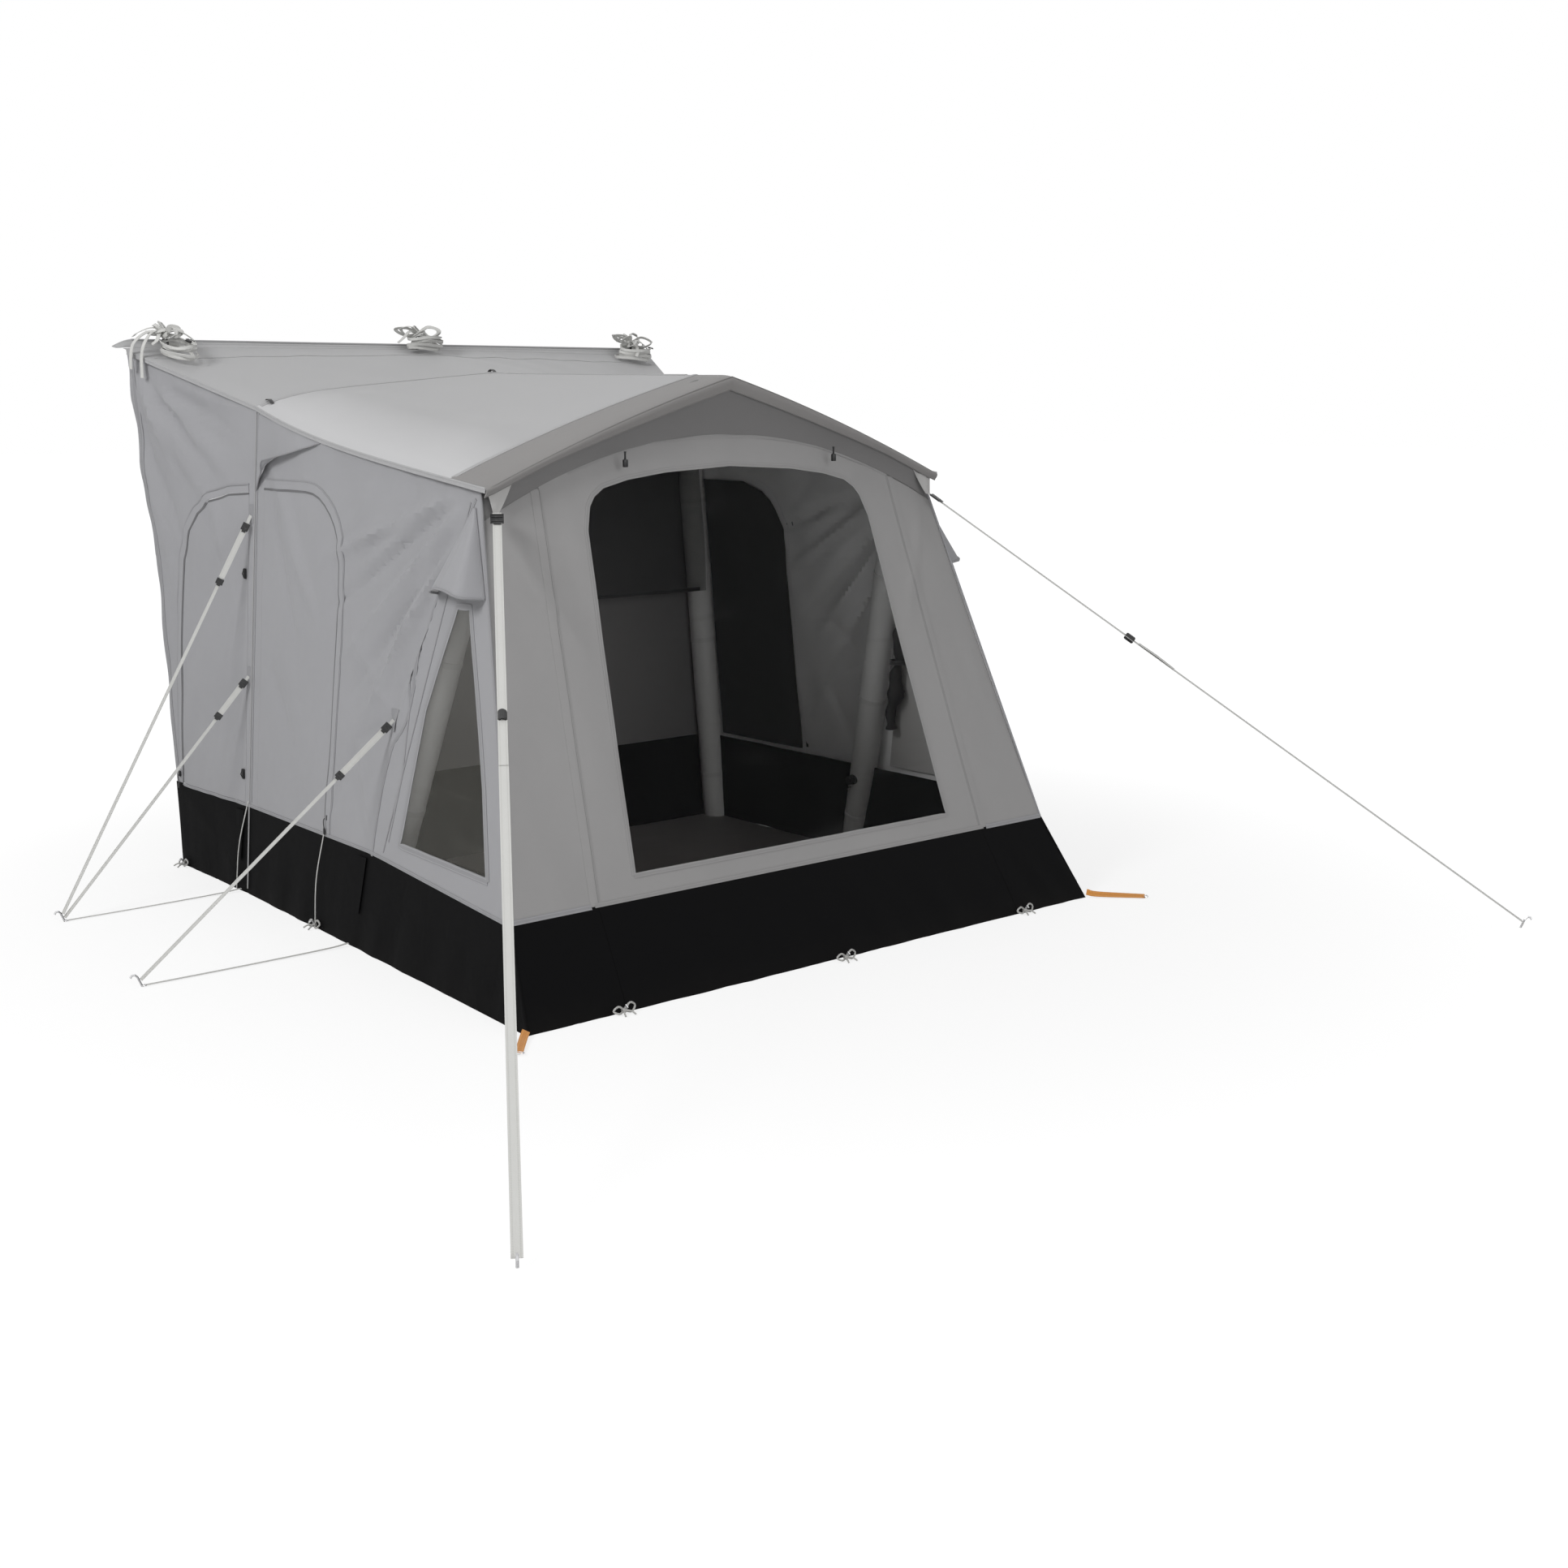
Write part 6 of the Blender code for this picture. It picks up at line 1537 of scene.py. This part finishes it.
def straps():
    """Ground and corner straps, patches and the elastics at the doors' feet."""
    white = Finishes.get("white_webbing")
    tabs, elastic, patches = Bag(), Bag(), Bag()
    for sign, side in SIDES:
        place = side_place(sign)
        far = (-1.415, -1.231, 0.0035) if sign < 0 else (-1.47, -1.267, 0.0035)
        for name, line, wide, finish, tilt in (
                ("rear_ground_strap_", ((-1.198, 1.15, 0.012), (-1.30, 1.151, 0.006), (-1.60, 1.152, 0.0035),
                                        (-1.896, 1.153, 0.004)), GROUND_STRAP, white, 0.0),
                ("mid_ground_strap_", ((-1.247, 0.16, 0.012), (-1.34, 0.161, 0.006), (-1.66, 0.166, 0.0035),
                                       (-1.996, 0.171, 0.004)), GROUND_STRAP, white, 0.0),
                ("corner_strap_", ((-1.308, -1.106, 0.010), (-1.34, -1.14, 0.005), far), CORNER_STRAP,
                 Finishes.get("orange_webbing"), 1.0)):
            ground_webbing(name + side, [mirrored(p, sign) for p in line], wide, finish, tilt)
        for bag, wanted, counts, lift, back in (
                (tabs, [(y, 0.285, 0.035, 0.012, 0.045, 0.16) for y in (1.17, 0.13)], (8, 4), 0.006, 0.002),
                (patches, [(y, z, half, half * 0.77, 0.034, 0.040) for y, z, half in
                           ((1.116, 1.50, 0.014), (1.116, 0.87, 0.014), (-0.02, 0.84, 0.026))], (6, 6), 0.003, 0.0025)):
            for y, z, top, foot, up, down in wanted:
                rows = quad_rows([(y - top, z + up, 0), (y + top, z + up, 0), (y + foot, z - down, 0),
                                  (y - foot, z - down, 0)], counts)
                thickened(bag, [[place(p.x, p.y, lift) for p in row] for row in rows], Vector((-sign * back, 0, 0)))
        for top_y, foot_y in ((1.106, 1.19), (0.435, 0.455)):
            top = place(top_y, 0.372, 0.004)
            bottom = Vector((sign * (side_x(foot_y, 0.02) + 0.012), foot_y, 0.006))
            mid = (top + bottom) / 2 + Vector((sign * 0.012, 0.004, 0))
            elastic.tube(curved([top, mid, bottom], 6), 0.0022, 6)
    tabs.make("skirt_tab_patches", Finishes.get("skirt_cloth"), smooth=30)
    patches.make("guy_patches", Finishes.get("wall_tape"), smooth=30)
    elastic.make("door_foot_elastics", white)


def dress(material, *nodes):
    """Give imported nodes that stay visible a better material."""
    for node in nodes:
        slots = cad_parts[node].data.materials
        slots.clear()
        slots.append(material)


def fittings():
    """Toggles, peg loops, pins and zip pulls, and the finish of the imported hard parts."""
    black, steel = Finishes.get("black_plastic"), Finishes.get("peg_steel")
    toggles, hooks = Bag(), Bag()
    for sign, _ in SIDES:
        for y, z in ((1.15, 1.265), (1.15, 0.475)):
            p = side_place(sign)(y, z, 0.006)
            toggles.box(p, Vector((0.004, 0, 0)), Vector((0, 0.007, 0)), Vector((0, 0, 0.020)))
            toggles.tube([p + Vector((sign * out, 0, rise)) for out, rise in
                          ((0.003, 0.018), (0.010, 0), (0.003, -0.018))], 0.0022, 6)
        p = Vector((sign * 0.477, -0.522, 1.729))
        hooks.tube([p + Vector((0, 0, 0.030)), p, p + Vector((0, 0.004, -0.022))], 0.0045)
        hooks.box(p + Vector((0, -0.001, -0.010)), Vector((0.008, 0, 0)), Vector((0, 0.006, 0)), Vector((0, 0, 0.013)))
    toggles.make("hook_toggles", black, smooth=35)
    hooks.make("front_toggles", black, "front_panel", 35)
    loops, pins = Bag(), Bag()
    for x, y, out in ((-0.942, -1.103, (0, -1, 0)), (0, -1.123, (0, -1, 0)), (0.942, -1.103, (0, -1, 0)),
                      (-1.215, 0.461, (-1, 0, 0)), (1.215, 0.461, (1, 0, 0)), (-1.188, 1.70, (-1, 0, 0)),
                      (1.188, 1.70, (1, 0, 0))):
        out = Vector(out)
        side = out.cross(UP)
        foot = Vector((x, y, 0)) + out * 0.012
        knot = foot + Vector((0, 0, 0.012))
        for s, lean in ((1, 0.004), (-1, 0.010)):
            loop = [knot, knot + side * s * 0.022 + Vector((0, 0, 0.012 + lean)),
                    knot + side * s * 0.042 + Vector((0, 0, lean)),
                    knot + side * s * 0.024 + out * 0.008 - Vector((0, 0, 0.006)), knot]
            loops.tube(curved(loop, 6), 0.0034, 7)
            end = [knot, knot + side * s * 0.014 + out * 0.020,
                   knot + side * s * 0.020 + out * 0.036 - Vector((0, 0, 0.008))]
            loops.tube(curved(end, 6), 0.0030, 7)
        loops.box(knot, side * 0.009, out * 0.008, Vector((0, 0, 0.007)), 0.4)
        pins.tube([foot + Vector((0, 0, 0.0030)), foot + out * 0.004 + Vector((0, 0, 0.024)),
                   foot + out * 0.010 + Vector((0, 0, 0.032)), foot + out * 0.020 + Vector((0, 0, 0.026))], 0.0030)
    loops.make("skirt_peg_loops", Finishes.get("elastic_cord"))
    pins.make("skirt_pins", steel)
    for sign, side in SIDES:
        for node, y, z in (("door_slider_", 0.421, 0.42), ("tunnel_slider_", 1.691, 0.40)):
            p = side_place(sign)(y, z, 0.012)
            cord = [p, p + Vector((sign * 0.005, 0, -0.012)), p + Vector((sign * 0.002, 0.002, -0.045))]
            pull = Bag().tube(curved(cord, 5), 0.0016, 6)
            pull.box(p + Vector((sign * 0.002, 0.002, -0.050)), Vector((0.0025, 0, 0)), Vector((0, 0.0045, 0)),
                     Vector((0, 0, 0.012)))
            pull.make(node + "pull_" + side, black, node + side)
        dress(black, "door_slider_" + side, "tunnel_slider_" + side, "guy_runner_" + side)
        dress(steel, "front_peg_" + side, "rear_peg_" + side, "mid_peg_" + side)
    dress(black, "inflation_valve", "valve_cap")
    cap_low, cap_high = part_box("valve_cap")
    centre = (cap_low + cap_high) / 2
    tether = Bag().tube(curved([centre + Vector((0.004, 0, -0.022)), centre + Vector((-0.004, 0.016, -0.040)),
                                centre + Vector((0.022, 0.012, -0.030))], 8), 0.0018, 6)
    tether.make("valve_tether", black)


# Floor, backdrop and lights
AMBIENT = 0.36        # strength of the pale surroundings, where they aren't seen directly
LIT_POINT = Vector((0, 0.2, 0.8))
LIGHTS = (  # name, place, size and power
    ("key_light", (-8.0, -1.5, 6.0), 2.6, 400.0), ("fill_light", (-1.0, -10.0, 4.0), 5.0, 230.0),
    ("top_light", (0.0, 1.0, 9.0), 6.0, 90.0))


def stage():
    """Floor, pale surroundings, lights and view transform."""
    scene = bpy.context.scene
    mesh = bpy.data.meshes.new("studio_floor")
    reach = 60
    mesh.from_pydata([(x * reach, y * reach, -0.001) for x, y in ((-1, -1), (1, -1), (1, 1), (-1, 1))], [],
                     [(0, 1, 2, 3)])
    floor = bpy.data.objects.new("studio_floor", mesh)
    scene.collection.objects.link(floor)
    stuff, tree, shader = fresh("floor_paint")
    place = spot_of(tree)
    speck = wire(tree, "ShaderNodeTexNoise", {"Vector": place, "Scale": 3.0, "Detail": 3.0})
    rough = wire(tree, "ShaderNodeMapRange", {"Value": speck.outputs["Fac"], "To Min": 0.78, "To Max": 0.82})
    feed(tree, shader, {"Roughness": rough.outputs[0], "Base Color": (0.86, 0.86, 0.86, 1.0)})
    path = wire(tree, "ShaderNodeLightPath")
    seen = maths(tree, "MAXIMUM", path.outputs["Is Camera Ray"], path.outputs["Is Transmission Ray"])
    glow = wire(tree, "ShaderNodeEmission", {"Color": (1, 1, 1, 1), "Strength": 1.06})
    flat = wire(tree, "ShaderNodeVectorMath", {0: place}, operation="LENGTH").outputs["Value"]
    share = wire(tree, "ShaderNodeMapRange", {"Value": flat, "From Min": 1.6, "From Max": 4.5, "To Min": 0.72,
                                              "To Max": 1.0}, interpolation_type="SMOOTHSTEP").outputs[0]
    mixed = wire(tree, "ShaderNodeMixShader", {0: maths(tree, "MULTIPLY", seen, share), 1: shader.outputs[0],
                                               2: glow.outputs[0]})
    tree.links.new(mixed.outputs[0], tree.nodes["Material Output"].inputs["Surface"])
    floor.data.materials.append(stuff)
    world = bpy.data.worlds.new("studio")
    scene.world = world
    world.use_nodes = True
    tree = world.node_tree
    path = wire(tree, "ShaderNodeLightPath")
    seen = maths(tree, "MAXIMUM", path.outputs["Is Camera Ray"], path.outputs["Is Glossy Ray"])
    seen = maths(tree, "MAXIMUM", seen, path.outputs["Is Transmission Ray"])
    feed(tree, tree.nodes["Background"], {"Color": (1.0, 1.0, 1.0, 1.0),
                                          "Strength": maths(tree, "MULTIPLY_ADD", seen, 1.0 - AMBIENT, AMBIENT)})
    for name, spot, size, power in LIGHTS:
        data = bpy.data.lights.new(name, "AREA")
        data.energy = power
        data.size = size
        lamp = bpy.data.objects.new(name, data)
        scene.collection.objects.link(lamp)
        lamp.location = spot
        lamp.rotation_mode = "QUATERNION"
        lamp.rotation_quaternion = (LIT_POINT - Vector(spot)).to_track_quat("-Z", "Y")
    scene.view_settings.view_transform = "Standard"


# Operators: one for each group of pieces, and one for the stage
class AWNING_OT_camera(bpy.types.Operator):
    """Add the camera of the photograph"""
    bl_idname = "awning.camera"
    bl_label = "Camera"

    def execute(self, context):
        camera()
        return {"FINISHED"}


class AWNING_OT_guy_lines(bpy.types.Operator):
    """Lay the storm straps and the side guys out to their pegs"""
    bl_idname = "awning.guy_lines"
    bl_label = "Guy lines"

    def execute(self, context):
        guy_lines()
        return {"FINISHED"}


class AWNING_OT_hanks(bpy.types.Operator):
    """Wind the spare straps into tied hanks on the tunnel roof"""
    bl_idname = "awning.hanks"
    bl_label = "Strap hanks"

    def execute(self, context):
        hanks()
        return {"FINISHED"}


class AWNING_OT_straps(bpy.types.Operator):
    """Lay the ground straps, corner straps and elastics"""
    bl_idname = "awning.straps"
    bl_label = "Ground straps"

    def execute(self, context):
        straps()
        return {"FINISHED"}


class AWNING_OT_roof(bpy.types.Operator):
    """Sew the roof, the canopy, the tunnel roof and their edges"""
    bl_idname = "awning.roof"
    bl_label = "Roof"

    def execute(self, context):
        roof()
        rail_strip()
        return {"FINISHED"}


class AWNING_OT_front(bpy.types.Operator):
    """Sew the front wall with its roll-up panel and window"""
    bl_idname = "awning.front"
    bl_label = "Front"

    def execute(self, context):
        front()
        return {"FINISHED"}


class AWNING_OT_sides(bpy.types.Operator):
    """Sew both side walls with doors, windows, rain hoods and gussets"""
    bl_idname = "awning.sides"
    bl_label = "Sides and tunnel"

    def execute(self, context):
        sides()
        return {"FINISHED"}


class AWNING_OT_skirts(bpy.types.Operator):
    """Hang the mud skirts round the foot of the walls"""
    bl_idname = "awning.skirts"
    bl_label = "Mud skirts"

    def execute(self, context):
        skirts()
        return {"FINISHED"}


class AWNING_OT_air_frame(bpy.types.Operator):
    """Pull the sleeves over the air hoops and the ridge brace"""
    bl_idname = "awning.air_frame"
    bl_label = "Air frame"

    def execute(self, context):
        air_frame()
        return {"FINISHED"}


class AWNING_OT_inside(bpy.types.Operator):
    """Hang the inner rear wall, the mesh curtain and the blinds, and lay the groundsheet"""
    bl_idname = "awning.inside"
    bl_label = "Inside"

    def execute(self, context):
        inside()
        return {"FINISHED"}


class AWNING_OT_fittings(bpy.types.Operator):
    """Add toggles, loops, pins and zip pulls, and finish the moulded and steel parts"""
    bl_idname = "awning.fittings"
    bl_label = "Fittings"

    def execute(self, context):
        fittings()
        return {"FINISHED"}


class AWNING_OT_stage(bpy.types.Operator):
    """Add the pale floor and the soft studio light"""
    bl_idname = "awning.stage"
    bl_label = "Stage"

    def execute(self, context):
        stage()
        return {"FINISHED"}


STEPS = (AWNING_OT_camera, AWNING_OT_guy_lines, AWNING_OT_hanks, AWNING_OT_straps, AWNING_OT_roof, AWNING_OT_front,
         AWNING_OT_sides, AWNING_OT_skirts, AWNING_OT_air_frame, AWNING_OT_inside, AWNING_OT_fittings,
         AWNING_OT_stage)


class AWNING_PT_panel(bpy.types.Panel):
    """Sizes, colours and steps of the awning"""
    bl_label = "Driveaway awning"
    bl_space_type = "VIEW_3D"
    bl_region_type = "UI"
    bl_category = "Awning"

    def draw(self, context):
        layout = self.layout
        for group in (context.scene.awning_sizes, context.scene.awning_colours):
            box = layout.box()
            for name in group.__annotations__:
                box.prop(group, name)
        for made in STEPS:
            layout.operator(made.bl_idname)


CLASSES = (AwningSizes, AwningColours, *STEPS, AWNING_PT_panel)


def register():
    for made in CLASSES:
        bpy.utils.register_class(made)
    bpy.types.Scene.awning_sizes = PointerProperty(type=AwningSizes)
    bpy.types.Scene.awning_colours = PointerProperty(type=AwningColours)


def unregister():
    del bpy.types.Scene.awning_colours
    del bpy.types.Scene.awning_sizes
    for made in reversed(CLASSES):
        bpy.utils.unregister_class(made)


def main():
    register()
    for made in STEPS:
        getattr(bpy.ops.awning, made.bl_idname.split(".")[1])()


if __name__ == "__main__":
    main()
